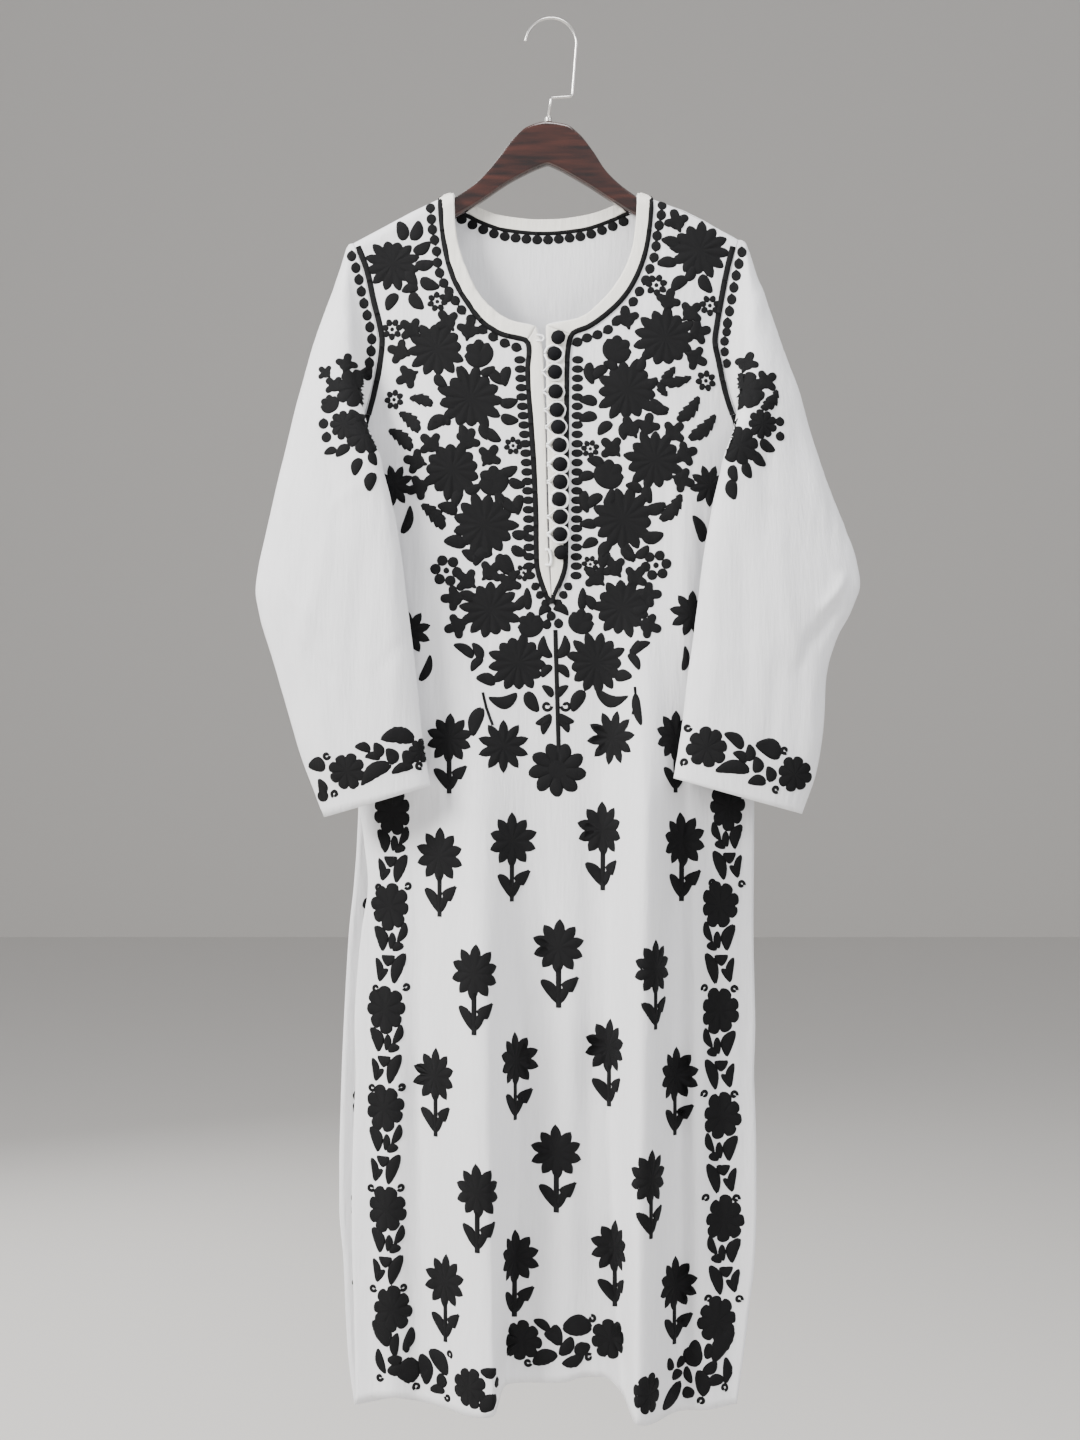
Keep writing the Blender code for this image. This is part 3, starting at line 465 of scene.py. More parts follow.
def wood_ring(x):
    """The bar's section at x: a rectangle with its four edges cut off."""
    visible = WOOD_TOP["x"][0] <= x <= WOOD_TOP["x"][-1]
    if visible:
        top = float(read(WOOD_TOP, "x", "down", x))
    else:
        top = float(read(SHOULDER, "x", "down", x)) + WOOD_BELOW_SEAM
    bottom = float(read(WOOD_BOTTOM, "x", "down", x))
    from_end = min(x - WOOD_LEFT_END, WOOD_RIGHT_END - x) / WOOD_END_ROUND
    rounding = math.sqrt(1 - (1 - min(from_end, 1)) ** 2) * 0.75 + 0.25
    middle = (top + bottom) / 2
    top = middle + (top - middle) * rounding
    bottom = middle + (bottom - middle) * rounding
    half = WOOD_HALF_THICKNESS * (0.5 + 0.5 * rounding)
    cut = min(WOOD_CHAMFER, half * 0.6, (bottom - top) * 0.3)
    return [
        (x, -half + cut, top), (x, half - cut, top), (x, half, top + cut), (x, half, bottom - cut),
        (x, half - cut, bottom), (x, -half + cut, bottom), (x, -half, bottom - cut), (x, -half, top + cut),
    ]


def hook_path(foot_down):
    """The wire from the hook's tip over the crown, down its right side and in to the stem's foot."""
    centre_down = HOOK_RADIUS - HOOK_WIRE_RADIUS
    path = []
    steps = HOOK_STEPS * 4
    for k in range(steps + 1):
        angle = math.radians(HOOK_TIP_DEGREES * (1 - k / steps))
        path.append((HOOK_RADIUS * math.cos(angle), 0, centre_down - HOOK_RADIUS * math.sin(angle)))
    side_x = HOOK_RADIUS + HOOK_SIDE_LEAN
    steps = CORNER_STEPS * 3
    for k in range(steps + 1):
        angle = math.pi / 2 * k / steps
        corner_x = side_x - HOOK_CORNER * (1 - math.cos(angle))
        path.append((corner_x, 0, HOOK_KNEE_DOWN - HOOK_CORNER * (1 - math.sin(angle))))
    bend_x = STEM_X + STEM_BEND_RIGHT
    bend_down = HOOK_KNEE_DOWN + STEM_BEND_FALL
    for k in range(steps + 1):
        angle = math.pi / 2 * k / steps
        corner_x = bend_x + STEM_CORNER * (1 - math.sin(angle))
        path.append((corner_x, 0, bend_down + STEM_CORNER * (1 - math.cos(angle))))
    path.append((STEM_X, 0, foot_down))
    return path


# the cloth's own creases: soft lines from one place to another; a height above 0 is a ridge
FRONT_CREASES = table(
    "x down x_end down_end width height",
    (-150, 800, -158, 1290, 13, 1.6), (-128, 770, -122, 1180, 10, -1.5), (-104, 640, -112, 1240, 9, 1.3),
    (-84, 700, -92, 1290, 8, -1.2), (-30, 620, -26, 1150, 13, 1.4), (-6, 790, -4, 1280, 10, -1.3),
    (16, 800, 22, 1290, 11, 1.4), (38, 640, 34, 1190, 9, -1.2), (118, 640, 122, 1300, 9, -1.6),
    (134, 720, 140, 1290, 9, 1.5), (158, 800, 160, 1250, 10, -1.3), (172, 850, 174, 1180, 8, 1.1),
    (-118, 470, -126, 640, 9, 1.4), (-140, 440, -150, 620, 10, -1.6), (122, 440, 134, 640, 10, 1.4),
    (146, 460, 152, 620, 9, -1.4), (-150, 270, -130, 350, 9, 0.9), (140, 268, 122, 340, 9, 0.9),
    (-60, 1010, -100, 1040, 6, -0.7), (60, 930, 84, 960, 6, -0.7), (-140, 1230, -112, 1256, 5, -0.7),
    (112, 1210, 140, 1240, 5, -0.7), (-30, 905, -4, 918, 5, -0.6), (-86, 740, -58, 762, 6, 0.7),
    (70, 740, 96, 766, 6, 0.7), (-160, 1010, -136, 1022, 5, 0.7), (150, 1040, 172, 1052, 5, 0.7),
)
BACK_CREASES = table(
    "x down x_end down_end width height",
    (-150, 700, -150, 1290, 12, 1.6), (-120, 620, -128, 1180, 10, -1.5), (-58, 600, -56, 1250, 11, 1.5),
    (-8, 560, 2, 1290, 12, -1.6), (28, 660, 26, 1210, 10, 1.4), (96, 600, 104, 1290, 12, -1.5),
    (124, 700, 122, 1210, 10, 1.4), (160, 760, 164, 1280, 10, 1.2), (-110, 250, -60, 330, 12, 1.0),
    (100, 250, 56, 336, 12, 1.0), (-20, 230, -14, 420, 12, -0.9), (30, 240, 24, 430, 12, 0.9),
    (-176, 860, -150, 900, 6, -0.8), (150, 1100, 176, 1130, 6, -0.8), (-60, 980, -26, 1000, 6, 0.7),
)
CREASE_SCALE = 1.45
CRINKLE_HEIGHT = 0.26
CRINKLE_WAVES = 14
CRINKLE_ACROSS = (5.5, 17)  # the shortest and the longest crinkle, from side to side
CRINKLE_ALONG = (60, 220)
HEM_BAND = 13.0
SIDE_BAND = 9.0
HEM_STEP = 0.35
PUCKER_HEIGHT = 0.28
PUCKER_PITCH = 8.5
SLITS_START = 760
NO_EDGE_NEAR = 99.0
CALM_DEPTH = 14  # below the shoulder seam


def crinkle_waves(seed):
    """Each crinkle's waves across and along the cloth, its start and its strength."""
    draw = np.random.default_rng(seed)
    across = 2 * math.pi / draw.uniform(*CRINKLE_ACROSS, CRINKLE_WAVES)
    along = 2 * math.pi / draw.uniform(*CRINKLE_ALONG, CRINKLE_WAVES) * draw.choice([-1, 1], CRINKLE_WAVES)
    return across, along, draw.uniform(0, 2 * math.pi, CRINKLE_WAVES), draw.uniform(0.4, 1, CRINKLE_WAVES)


FRONT_WAVES = crinkle_waves(11)
BACK_WAVES = crinkle_waves(12)


def crinkle(waves, x, down):
    """Fine upright crinkles, stronger here and weaker there."""
    total = 0.0
    for across, along, start, share in zip(*waves):
        total = total + share * np.sin(across * x + along * down + start + 1.3 * np.sin(down / 61 + start))
    patch = 0.55 + 0.45 * np.sin(x / 43 + 1.7 * np.sin(down / 90)) * np.sin(down / 71 + 1.1)
    return CRINKLE_HEIGHT * total / math.sqrt(CRINKLE_WAVES / 2) * patch


def crease_height(creases, x, down):
    """The soft troughs and ridges that are listed."""
    total = 0.0
    for line in rows_of(creases):
        dx = line["x_end"] - line["x"]
        dd = line["down_end"] - line["down"]
        length = math.hypot(dx, dd)
        along = ((x - line["x"]) * dx + (down - line["down"]) * dd) / length**2
        away = ((x - line["x"]) * dd - (down - line["down"]) * dx) / length
        away = away + 0.25 * line["width"] * np.sin(along * 7 + line["x"])
        taper = smooth(along / 0.3) * smooth((1 - along) / 0.3)
        total = total + CREASE_SCALE * line["height"] * taper * np.exp(-(away / line["width"]) ** 2)
    return total


def turned_edge(edges, hem, x, down):
    """The double cloth along the hem and the slits, and the puckers that its sewing draws."""
    above_hem = read(hem, "x", "down", x) - down
    from_side = np.minimum(x - read(edges, "down", "left", down), read(edges, "down", "right", down) - x)
    from_side = np.where(down > SLITS_START, from_side, NO_EDGE_NEAR)
    double = np.maximum(smooth((HEM_BAND + 1 - above_hem) / 2), smooth((SIDE_BAND + 1 - from_side) / 2))
    by_hem = np.exp(-((above_hem - HEM_BAND - 3) / 7) ** 2)
    by_side = np.exp(-((from_side - SIDE_BAND - 2) / 5) ** 2)
    wave_x = np.sin(2 * math.pi * x / PUCKER_PITCH + 2 * np.sin(x / 19))
    wave_down = np.sin(2 * math.pi * down / PUCKER_PITCH + 2 * np.sin(down / 23))
    return HEM_STEP * double + PUCKER_HEIGHT * (by_hem * wave_x + by_side * wave_down)


def calm_top(x, down):
    """Nothing is added where the cloth lies over the shoulder seam."""
    return smooth((down - read(SHOULDER, "x", "down", x)) / CALM_DEPTH)


def front_cloth(x, down):
    """The front's outer face with its creases, crinkles and turned edges."""
    added = crease_height(FRONT_CREASES, x, down) + crinkle(FRONT_WAVES, x, down)
    edge = turned_edge(FRONT_EDGE, FRONT_HEM, x, down)
    return front_y(x, down) - (added * calm_top(x, down) + edge)


def back_cloth(x, down):
    """The back's outer face with its creases, crinkles and turned edges."""
    added = crease_height(BACK_CREASES, x, down) + crinkle(BACK_WAVES, x, down)
    edge = turned_edge(BACK_EDGE, BACK_HEM, x, down)
    return back_y(x, down) + added * calm_top(x, down) + edge


def off_face(x, down, face_y, side, lift):
    """Points this far off a cloth's outer face, as rows of (x, y, down)."""
    step = 0.6
    slope_x = (face_y(x + step, down) - face_y(x - step, down)) / (2 * step)
    slope_down = (face_y(x, down + step) - face_y(x, down - step)) / (2 * step)
    normal = np.stack([-slope_x, np.ones_like(slope_x), -slope_down], -1) * side
    normal /= np.linalg.norm(normal, axis=-1, keepdims=True)
    return np.stack([x, face_y(x, down), down], -1) + np.asarray(lift)[..., None] * normal


def eased(values, count, closed=False):
    """Rows of values, count steps for each one, on a smooth curve that doesn't overshoot."""
    values = np.asarray(values, float)
    if closed:
        values = np.concatenate([values[-2:], values, values[:3]])
    slope = np.diff(values, axis=0)
    same = slope[:-1] * slope[1:] > 0
    both = np.where(same, slope[:-1] + slope[1:], 1.0)
    inner = np.where(same, 2 * slope[:-1] * slope[1:] / both, 0.0)
    if closed:
        inner = (slope[:-1] + slope[1:]) / 2
    tangent = np.concatenate([slope[:1], inner, slope[-1:]])
    rows = []
    first, last = (2, len(values) - 3) if closed else (0, len(values) - 1)
    for i in range(first, last):
        for k in range(count):
            t = k / count
            h = t * t * (3 - 2 * t)
            rows.append(values[i] * (1 - h) + values[i + 1] * h
                        + tangent[i] * t * (1 - t) ** 2 - tangent[i + 1] * t * t * (1 - t))
    if not closed:
        rows.append(values[-1])
    return np.array(rows)


def finer(grid, down_steps, across_steps, closed=False):
    """A grid of points with more of them both ways, closed where it goes round a tube."""
    grid = eased(grid, down_steps)
    return np.swapaxes(eased(np.swapaxes(grid, 0, 1), across_steps, closed), 0, 1)


# meshes and looks
def input_of(node, **values):
    """Sets a node's inputs by their names, with _ for a space."""
    for name, value in values.items():
        node.inputs[name.replace("_", " ")].default_value = value


def new_look(name, colour, roughness, metallic=0.0):
    """A material, its tree and its shader."""
    look = bpy.data.materials.new(name)
    look.use_nodes = True
    shader = look.node_tree.nodes["Principled BSDF"]
    input_of(shader, Base_Color=(*colour, 1), Roughness=roughness, Metallic=metallic)
    return look, look.node_tree, shader


def bump_of(tree, shader, source, strength, distance, before=None):
    """Fine relief on a shader, over another bump where there is one before it."""
    bump = tree.nodes.new("ShaderNodeBump")
    input_of(bump, Strength=strength, Distance=distance)
    tree.links.new(source, bump.inputs["Height"])
    if before is not None:
        tree.links.new(before.outputs["Normal"], bump.inputs["Normal"])
    tree.links.new(bump.outputs["Normal"], shader.inputs["Normal"])
    return bump


def grain_of(tree, scale, detail):
    """Noise in the object's own space, stretched by a scale for each axis."""
    place = tree.nodes.new("ShaderNodeTexCoord")
    mapping = tree.nodes.new("ShaderNodeMapping")
    mapping.inputs["Scale"].default_value = scale
    tree.links.new(place.outputs["Object"], mapping.inputs["Vector"])
    noise = tree.nodes.new("ShaderNodeTexNoise")
    input_of(noise, Scale=1.0, Detail=detail)
    tree.links.new(mapping.outputs["Vector"], noise.inputs["Vector"])
    return noise.outputs["Fac"]


def stitch_rows(tree, rows, direction, scale, distortion):
    """Bands across the stitch map, in one of its two directions."""
    wave = tree.nodes.new("ShaderNodeTexWave")
    wave.bands_direction = direction
    input_of(wave, Scale=scale, Distortion=distortion, Detail=1.0)
    tree.links.new(rows.outputs["UV"], wave.inputs["Vector"])
    return wave.outputs["Fac"]


def cotton_look(name, colour, see_through, crinkled):
    """White cotton with a crepe grain and a weave; thin cloth lets a little light through."""
    look, tree, shader = new_look(name, colour, 0.82)
    input_of(shader, Sheen_Weight=0.25, Sheen_Roughness=0.5)
    crepe = grain_of(tree, (330, 330, 42), 4.0)
    weave = grain_of(tree, (1500, 1500, 1100), 2.0)
    first = bump_of(tree, shader, crepe, crinkled, 0.0009)
    bump_of(tree, shader, weave, 0.22, 0.00025, first)
    tint = tree.nodes.new("ShaderNodeMixRGB")
    input_of(tint, Color1=(*[c * 0.93 for c in colour], 1), Color2=(*[min(1, c * 1.05) for c in colour], 1))
    tree.links.new(crepe, tint.inputs["Fac"])
    tree.links.new(tint.outputs["Color"], shader.inputs["Base Color"])
    if see_through:
        thin = tree.nodes.new("ShaderNodeBsdfTranslucent")
        input_of(thin, Color=(*colour, 1))
        mixed = tree.nodes.new("ShaderNodeMixShader")
        input_of(mixed, Fac=see_through)
        tree.links.new(shader.outputs["BSDF"], mixed.inputs[1])
        tree.links.new(thin.outputs["BSDF"], mixed.inputs[2])
        tree.links.new(mixed.outputs["Shader"], tree.nodes["Material Output"].inputs["Surface"])
    return look


def thread_look(name, colour, roughness):
    """Rows of chain stitch, from the stitch map that each motif carries in millimetres."""
    look, tree, shader = new_look(name, colour, roughness)
    input_of(shader, Specular_IOR_Level=0.16)
    rows = tree.nodes.new("ShaderNodeUVMap")
    rows.uv_map = "stitch"
    first = bump_of(tree, shader, stitch_rows(tree, rows, "Y", 0.30, 1.2), 0.5, 0.0004)
    bump_of(tree, shader, stitch_rows(tree, rows, "X", 0.2, 1.6), 0.3, 0.0003, first)
    return look


def add_mesh(name, points, faces, look, uv=None):
    """A mesh in the row frame from points (x, y, down) in millimetres."""
    points = np.asarray(points, float)
    mesh = bpy.data.meshes.new(name)
    mesh.from_pydata(np.stack([points[:, 0], points[:, 1], -points[:, 2]], -1) * MM, [], faces)
    mesh.shade_smooth()
    if uv is not None:
        layer = mesh.uv_layers.new(name="stitch")
        index = np.empty(len(mesh.loops), np.int32)
        mesh.loops.foreach_get("vertex_index", index)
        layer.data.foreach_set("uv", np.asarray(uv, np.float32)[index].ravel())
    mesh.materials.append(look)
    made = bpy.data.objects.new(name, mesh)
    bpy.context.scene.collection.objects.link(made)
    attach(made, "root")
    return made


def grid_faces(rows, columns, around=False, turned=False):
    """The faces between the rows of a grid, joined round where it is a tube."""
    faces = []
    for r in range(rows - 1):
        for c in range(columns if around else columns - 1):
            d = (c + 1) % columns
            quad = (r * columns + c, (r + 1) * columns + c, (r + 1) * columns + d, r * columns + d)
            faces.append(quad[::-1] if turned else quad)
    return faces


def caps(rows, columns):
    """The two end faces of a form that is closed all round."""
    last = (rows - 1) * columns
    return [tuple(range(columns)), tuple(last + c for c in range(columns))[::-1]]


def ribbon_faces(rows, columns):
    """A ribbon's top, its flat underside and its two ends."""
    top = [face[::-1] for face in grid_faces(rows, columns)]
    starts = [row * columns for row in range(rows - 1)]
    under = [(i, i + columns, i + 2 * columns - 1, i + columns - 1) for i in starts]
    return top + under + caps(rows, columns)


def merge_points(made, distance, outward=False):
    """Joins points that lie together, and turns a closed form's faces outward."""
    form = bmesh.new()
    form.from_mesh(made.data)
    bmesh.ops.remove_doubles(form, verts=form.verts, dist=distance)
    if outward:
        bmesh.ops.recalc_face_normals(form, faces=form.faces)
    form.to_mesh(made.data)
    form.free()


def faces_inward(grid, around, out):
    """True where a grid's own winding looks away from out, or towards the middle of a tube."""
    spot = grid * (1, 1, -1)
    along = spot[1:, :-1] - spot[:-1, :-1]
    across = spot[:-1, 1:] - spot[:-1, :-1]
    normal = np.cross(along, across)
    away = spot[:-1, :-1] - spot.mean(axis=1, keepdims=True)[:-1] if around else np.array(out, float)
    return float((normal * away).sum()) < 0


def add_shell(name, grids, wall, look, out=(0, -1, 0), around=False):
    """Cloth from grids of points, joined along shared points, with its wall on the inside."""
    points = []
    faces = []
    for grid in grids:
        start = len(points)
        points += list(grid.reshape(-1, 3))
        turned = faces_inward(grid, around, out)
        found = grid_faces(grid.shape[0], grid.shape[1], around, turned)
        faces += [tuple(start + i for i in face) for face in found]
    made = add_mesh(name, points, faces, look)
    merge_points(made, 2e-6)
    thick = made.modifiers.new("Wall", "SOLIDIFY")
    thick.thickness = wall * MM
    thick.offset = -1
    return made


# needlework: flat motifs in millimetres, then laid on the cloth
THREAD_HEIGHT = 1.15
SUNK = 0.4  # how deep a motif's outline lies in the cloth
DOT_HEIGHT = THREAD_HEIGHT * 0.8
VALLEY_DEPTH = 0.6  # between two petals, as a share of the thread's height
BEAD_PITCH = 2.6
CURL_WIDTH = 3.8
PETAL_DEPTH = 0.23
STAR_INNER = 0.62
# each lobe's angle, reach and width
SPRIG_LOBES = ((-1.35, 0.95, 0.56), (0.0, 1.05, 0.56), (1.35, 0.95, 0.56), (math.pi, 0.8, 0.3))
# the rings of points in a raised patch, as shares of its radius
FAN_RINGS = (0.34, 0.62, 0.84, 0.95, 1.0)
FINE_RINGS = (0.17, 0.34, 0.48, 0.62, 0.74, 0.86, 0.95, 1.0)


def angles_of(count):
    """Even angles once round."""
    return np.arange(count) * 2 * math.pi / count


class Needlework:
    """Motifs gathered as points (u right, v down, height), to be laid on one piece of cloth."""

    def __init__(self):
        self.points = []
        self.faces = []
        self.uv = []
        self.anchors = []
        self.count = 0

    def add(self, points, faces, uv, at):
        """Points round a place on the cloth, (x, down), with 1 after it for a sleeve's back."""
        self.points.append(np.array(points))
        self.faces += [tuple(self.count + i for i in face) for face in faces]
        self.uv.append(np.array(uv))
        self.anchors.append(np.tile(np.array((*at, 0)[:3], float), (len(points), 1)))
        self.count += len(points)

    def fan(self, at, radii, turn=0.0, height=THREAD_HEIGHT, valley=None, shares=FAN_RINGS, centre=(0, 0)):
        """A raised patch round a centre, with its outline radius at even angles."""
        n = len(radii)
        valley = np.zeros(n) if valley is None else valley
        points = [[0, 0, height * 0.8]]
        uv = [[0, 0]]
        for share in shares:
            dome = (1 - share**4) ** 0.5 if share < 1 else 0.0
            for a, r, low in zip(angles_of(n), radii, valley):
                up = height * dome * (1 - low * VALLEY_DEPTH * smooth(share / 0.7)) if share < 1 else -SUNK
                points.append([share * r * math.sin(a), -share * r * math.cos(a), up])
                uv.append([a * r, share * r])
        rings = len(shares)
        faces = [(0, 1 + (c + 1) % n, 1 + c) for c in range(n)]
        for k in range(rings - 1):
            for c in range(n):
                d = (c + 1) % n
                faces.append((1 + k * n + c, 1 + k * n + d, 1 + (k + 1) * n + d, 1 + (k + 1) * n + c))
        last = 1 + (rings - 1) * n
        points.append([0, 0, -SUNK])
        uv.append([0, 0])
        faces += [(len(points) - 1, last + c, last + (c + 1) % n) for c in range(n)]
        points = np.array(points)
        c, s = math.cos(turn), math.sin(turn)
        u = points[:, 0] * c - points[:, 1] * s + centre[0]
        v = points[:, 0] * s + points[:, 1] * c + centre[1]
        self.add(np.stack([u, v, points[:, 2]], -1), faces, uv, at)

    def leaf(self, at, base, tip, width, bend=0.0, teeth=0, depth=0.0, blunt=0.8):
        """A leaf from base to tip; teeth are the points along each side, cut this share deep."""
        rows = 11 if teeth == 0 else 8 * teeth + 3
        axis = np.array(tip, float) - base
        length = float(np.linalg.norm(axis))
        axis /= length
        side = np.array([-axis[1], axis[0]])
        across = (-1.0, -0.62, 0.0, 0.62, 1.0)
        edge, vein = THREAD_HEIGHT * 0.85, THREAD_HEIGHT * 0.62
        rise = (-SUNK, edge, vein, edge, -SUNK)
        points = []
        uv = []
        for i in range(rows):
            t = i / (rows - 1)
            half = 1.1 * width / 2 * math.sin(math.pi * t**blunt) ** 0.7 + 0.12
            if teeth:
                saw = (t * teeth) % 1
                half *= 1 - depth * (saw**1.5) * (0.25 if t > 0.9 else 1)
            middle = np.array(base) + axis * length * t + side * bend * math.sin(math.pi * t) * length
            flat = min(1, 6 * t, 6 * (1 - t))
            for a, h in zip(across, rise):
                place = middle + side * half * a
                points.append([place[0], place[1], h if h < 0 else h * flat - SUNK * (1 - flat)])
                uv.append([length * t, half * a])
        self.add(points, ribbon_faces(rows, len(across)), uv, at)

    def leaf_between(self, base, tip, width, bend, **shape):
        """A leaf whose base and tip are both places on the cloth."""
        self.leaf(base, (0, 0), (tip[0] - base[0], tip[1] - base[1]), width, bend, **shape)

    def leaf_towards(self, at, turn, length, width=None):
        """A leaf set at its middle, with its tip pointing along turn (0 is up, clockwise)."""
        c, s = math.cos(turn), math.sin(turn)
        half = length / 2
        self.leaf(at, (-s * half, c * half), (s * half, -c * half), width or length * 0.56, 0.08)

    def cord(self, at, path, width, height, beads=0.0):
        """A line of chain stitch along points (u, v)."""
        path = np.array(path, float)
        gone = np.concatenate([[0], np.cumsum(np.linalg.norm(np.diff(path, axis=0), axis=1))])
        direction = np.gradient(path, axis=0)
        direction /= np.linalg.norm(direction, axis=1, keepdims=True) + 1e-9
        side = np.stack([-direction[:, 1], direction[:, 0]], -1)
        section = ((-1, -SUNK), (-0.62, height * 0.8), (0, height), (0.62, height * 0.8), (1, -SUNK))
        points = []
        uv = []
        for i, place in enumerate(path):
            swell = 1 + beads * math.sin(2 * math.pi * gone[i] / BEAD_PITCH)
            for a, h in section:
                spot = place + side[i] * a * width / 2 * swell
                points.append([spot[0], spot[1], h])
                uv.append([gone[i], a * width / 2])
        self.add(points, ribbon_faces(len(path), len(section)), uv, at)

    # motifs, with their size given as a radius or a length
    def bloom(self, at, radius, petals, turn, seed):
        """A big flower of many petals, a little uneven."""
        draw = np.random.default_rng(seed + 100)
        angles = angles_of(petals * 7)
        phase = (angles * petals / (2 * math.pi)) % 1
        lobe = (1 - np.abs(2 * phase - 1)) ** 0.72
        longer = 1 + 0.12 * draw.standard_normal(petals).clip(-1, 1)
        grown = longer[(angles * petals / (2 * math.pi)).astype(int) % petals]
        radii = radius * ((1 - PETAL_DEPTH) + PETAL_DEPTH * lobe) * (1 + (grown - 1) * lobe)
        self.fan(at, radii, turn, valley=1 - lobe)

    def star(self, at, radius, petals, turn):
        """A flower of even pointed petals."""
        angles = angles_of(petals * 6)
        phase = (angles * petals / (2 * math.pi) + 0.5) % 1
        point = (1 - np.abs(2 * phase - 1)) ** 0.8
        self.fan(at, radius * (STAR_INNER + (1 - STAR_INNER) * point), turn, valley=1 - point)

    def dot(self, at, wide, tall, turn=0.0, pointed=0.15, centre=(0, 0)):
        """An oval with a slight point at its top."""
        angles = angles_of(16)
        radii = 1 / np.sqrt((np.sin(angles) / (wide / 2)) ** 2 + (np.cos(angles) / (tall / 2)) ** 2)
        radii[0] *= 1 + pointed
        self.fan(at, radii, turn, DOT_HEIGHT, centre=centre)

    def sprig(self, at, radius, turn):
        """Three round lobes on a short foot, pointing along turn (0 is up)."""
        angles = angles_of(60)
        radii = np.full(len(angles), 0.56 * radius)
        for lobe, reach, wide in SPRIG_LOBES:
            off = np.angle(np.exp(1j * (angles - lobe)))
            radii = np.maximum(radii, reach * radius * np.exp(-np.abs(off / wide) ** 2.4 / 2))
        self.fan(at, radii, turn)

    def open_flower(self, at, radius, petals, turn):
        """Separate oval petals round a small middle."""
        out = radius * 0.66
        wide = radius * 2 * math.pi / petals * 0.66
        for k in range(petals):
            a = turn + 2 * math.pi * k / petals
            self.dot(at, wide, radius * 0.68, a, 0.05, (out * math.sin(a), -out * math.cos(a)))
        core = radius * 0.24 * 1.6
        self.dot(at, core, core)

    def bud(self, at, radius, turn):
        """A rounded body with a toothed top."""
        angles = angles_of(42)
        up = np.cos(angles) > 0.35
        teeth = 0.22 * np.abs(np.sin(angles * 3.5))
        radii = radius * np.where(up, 0.92 + teeth, 1.0 - 0.06 * np.cos(2 * angles))
        self.fan(at, radii, turn, valley=np.where(up, 0.6 - teeth * 4, 0).clip(0, 1))

    def curl(self, at, radius, turn, hand=1, centre=(0, 0)):
        """A small spiral of stitches; hand is 1 or -1."""
        path = []
        for k in range(19):
            a = turn + hand * k / 18 * 2 * math.pi * 0.95
            r = radius * (1 - 0.55 * k / 18)
            path.append((centre[0] + r * math.cos(a), centre[1] + r * math.sin(a)))
        self.cord(at, path, CURL_WIDTH, 0.7)


# where the distances along a panel's cloth are measured
PANEL_ACROSS = (-216.0, 217.0)
PANEL_DOWN = (160.0, 1342.0)
PANEL_STEP = 2


class PanelCloth:
    """A panel of the body: distances along its cloth, taken sideways from an upright line."""

    def __init__(self, plain_y, face_y, side, inside=0.0):
        self.face_y = face_y
        self.side = side
        self.inside = inside
        self.xs = np.arange(*PANEL_ACROSS)
        self.downs = np.arange(*PANEL_DOWN, PANEL_STEP)
        depth = plain_y(self.xs[None, :], self.downs[:, None])
        step = np.hypot(np.diff(depth, axis=1), 1.0)
        self.gone = np.concatenate([np.zeros((len(self.downs), 1)), np.cumsum(step, axis=1)], axis=1)

    def x_at(self, x_anchor, u, down):
        """Where a motif's points lie, u along the cloth from the motif's own place."""
        row = np.round((down - self.downs[0]) / PANEL_STEP).astype(int)
        row = np.clip(row, 0, len(self.downs) - 1)
        x = np.empty_like(u)
        for r in np.unique(row):
            here = row == r
            start = np.interp(x_anchor[here], self.xs, self.gone[r])
            x[here] = np.interp(start + u[here], self.gone[r], self.xs)
        return x

    def lay(self, work):
        """The motifs' points on the outer face, or on the inner one where the wall is given."""
        points = np.concatenate(work.points)
        at = np.concatenate(work.anchors)
        down = at[:, 1] + points[:, 1]
        x = self.x_at(at[:, 0], points[:, 0], down)
        lift = np.where(self.inside > 0, -self.inside - points[:, 2], points[:, 2])
        return off_face(x, down, self.face_y, self.side, lift)


MOTIF_DEPTH = 22.0  # a ray that meets the cloth this far from a motif's middle has missed its face
RAY_START = 300
SLEEVE_MIDDLE_Y = -60


class SleeveCloth:
    """A sleeve: each motif is set on the cloth where it is seen, and pressed on along the cloth's face."""

    def __init__(self, grid):
        rows, columns = grid.shape[:2]
        points = [Vector(p) for p in grid.reshape(-1, 3)]
        self.tree = BVHTree.FromPolygons(points, grid_faces(rows, columns, True))

    def seen(self, x, down, behind):
        """The place that shows at (x, down) from straight in front, or from behind."""
        way = -1.0 if behind else 1.0
        place = self.tree.ray_cast(Vector((x, -RAY_START * way, down)), Vector((0, way, 0)))[0]
        if place is None:
            place = self.tree.find_nearest(Vector((x, SLEEVE_MIDDLE_Y, down)))[0]
        return place

    def lay(self, work):
        """Each motif keeps the outline that it shows from straight in front, or from behind."""
        laid = []
        for points, at in zip(work.points, work.anchors):
            x, down, behind = at[0]
            middle = self.seen(x, down, behind > 0)
            way = Vector((0, -1.0 if behind else 1.0, 0))
            for u, v, height in points:
                start = Vector((x + u, -RAY_START * way.y, down + v))
                hit, face, _, _ = self.tree.ray_cast(start, way)
                if hit is None or abs(hit.y - middle.y) > MOTIF_DEPTH:
                    hit, face, _, _ = self.tree.find_nearest(Vector((x + u, middle.y, down + v)))
                if face.dot(way) > 0:
                    face = -face
                laid.append(hit + face * height)
        return np.array([tuple(p) for p in laid])


def add_needlework(name, work, cloth, look):
    """All the motifs of one cloth, laid on it as one piece."""
    add_mesh(name, cloth.lay(work), work.faces, look, np.concatenate(work.uv))


# motifs that are used again and again, at a place (x, down) on the cloth
STAR_RADIUS = 26
STAR_PETALS = 10
STAR_STEM = (18, 7.8, 6.2)  # where it starts below the middle, the step between its points, and its width
STAR_FOOT = 54


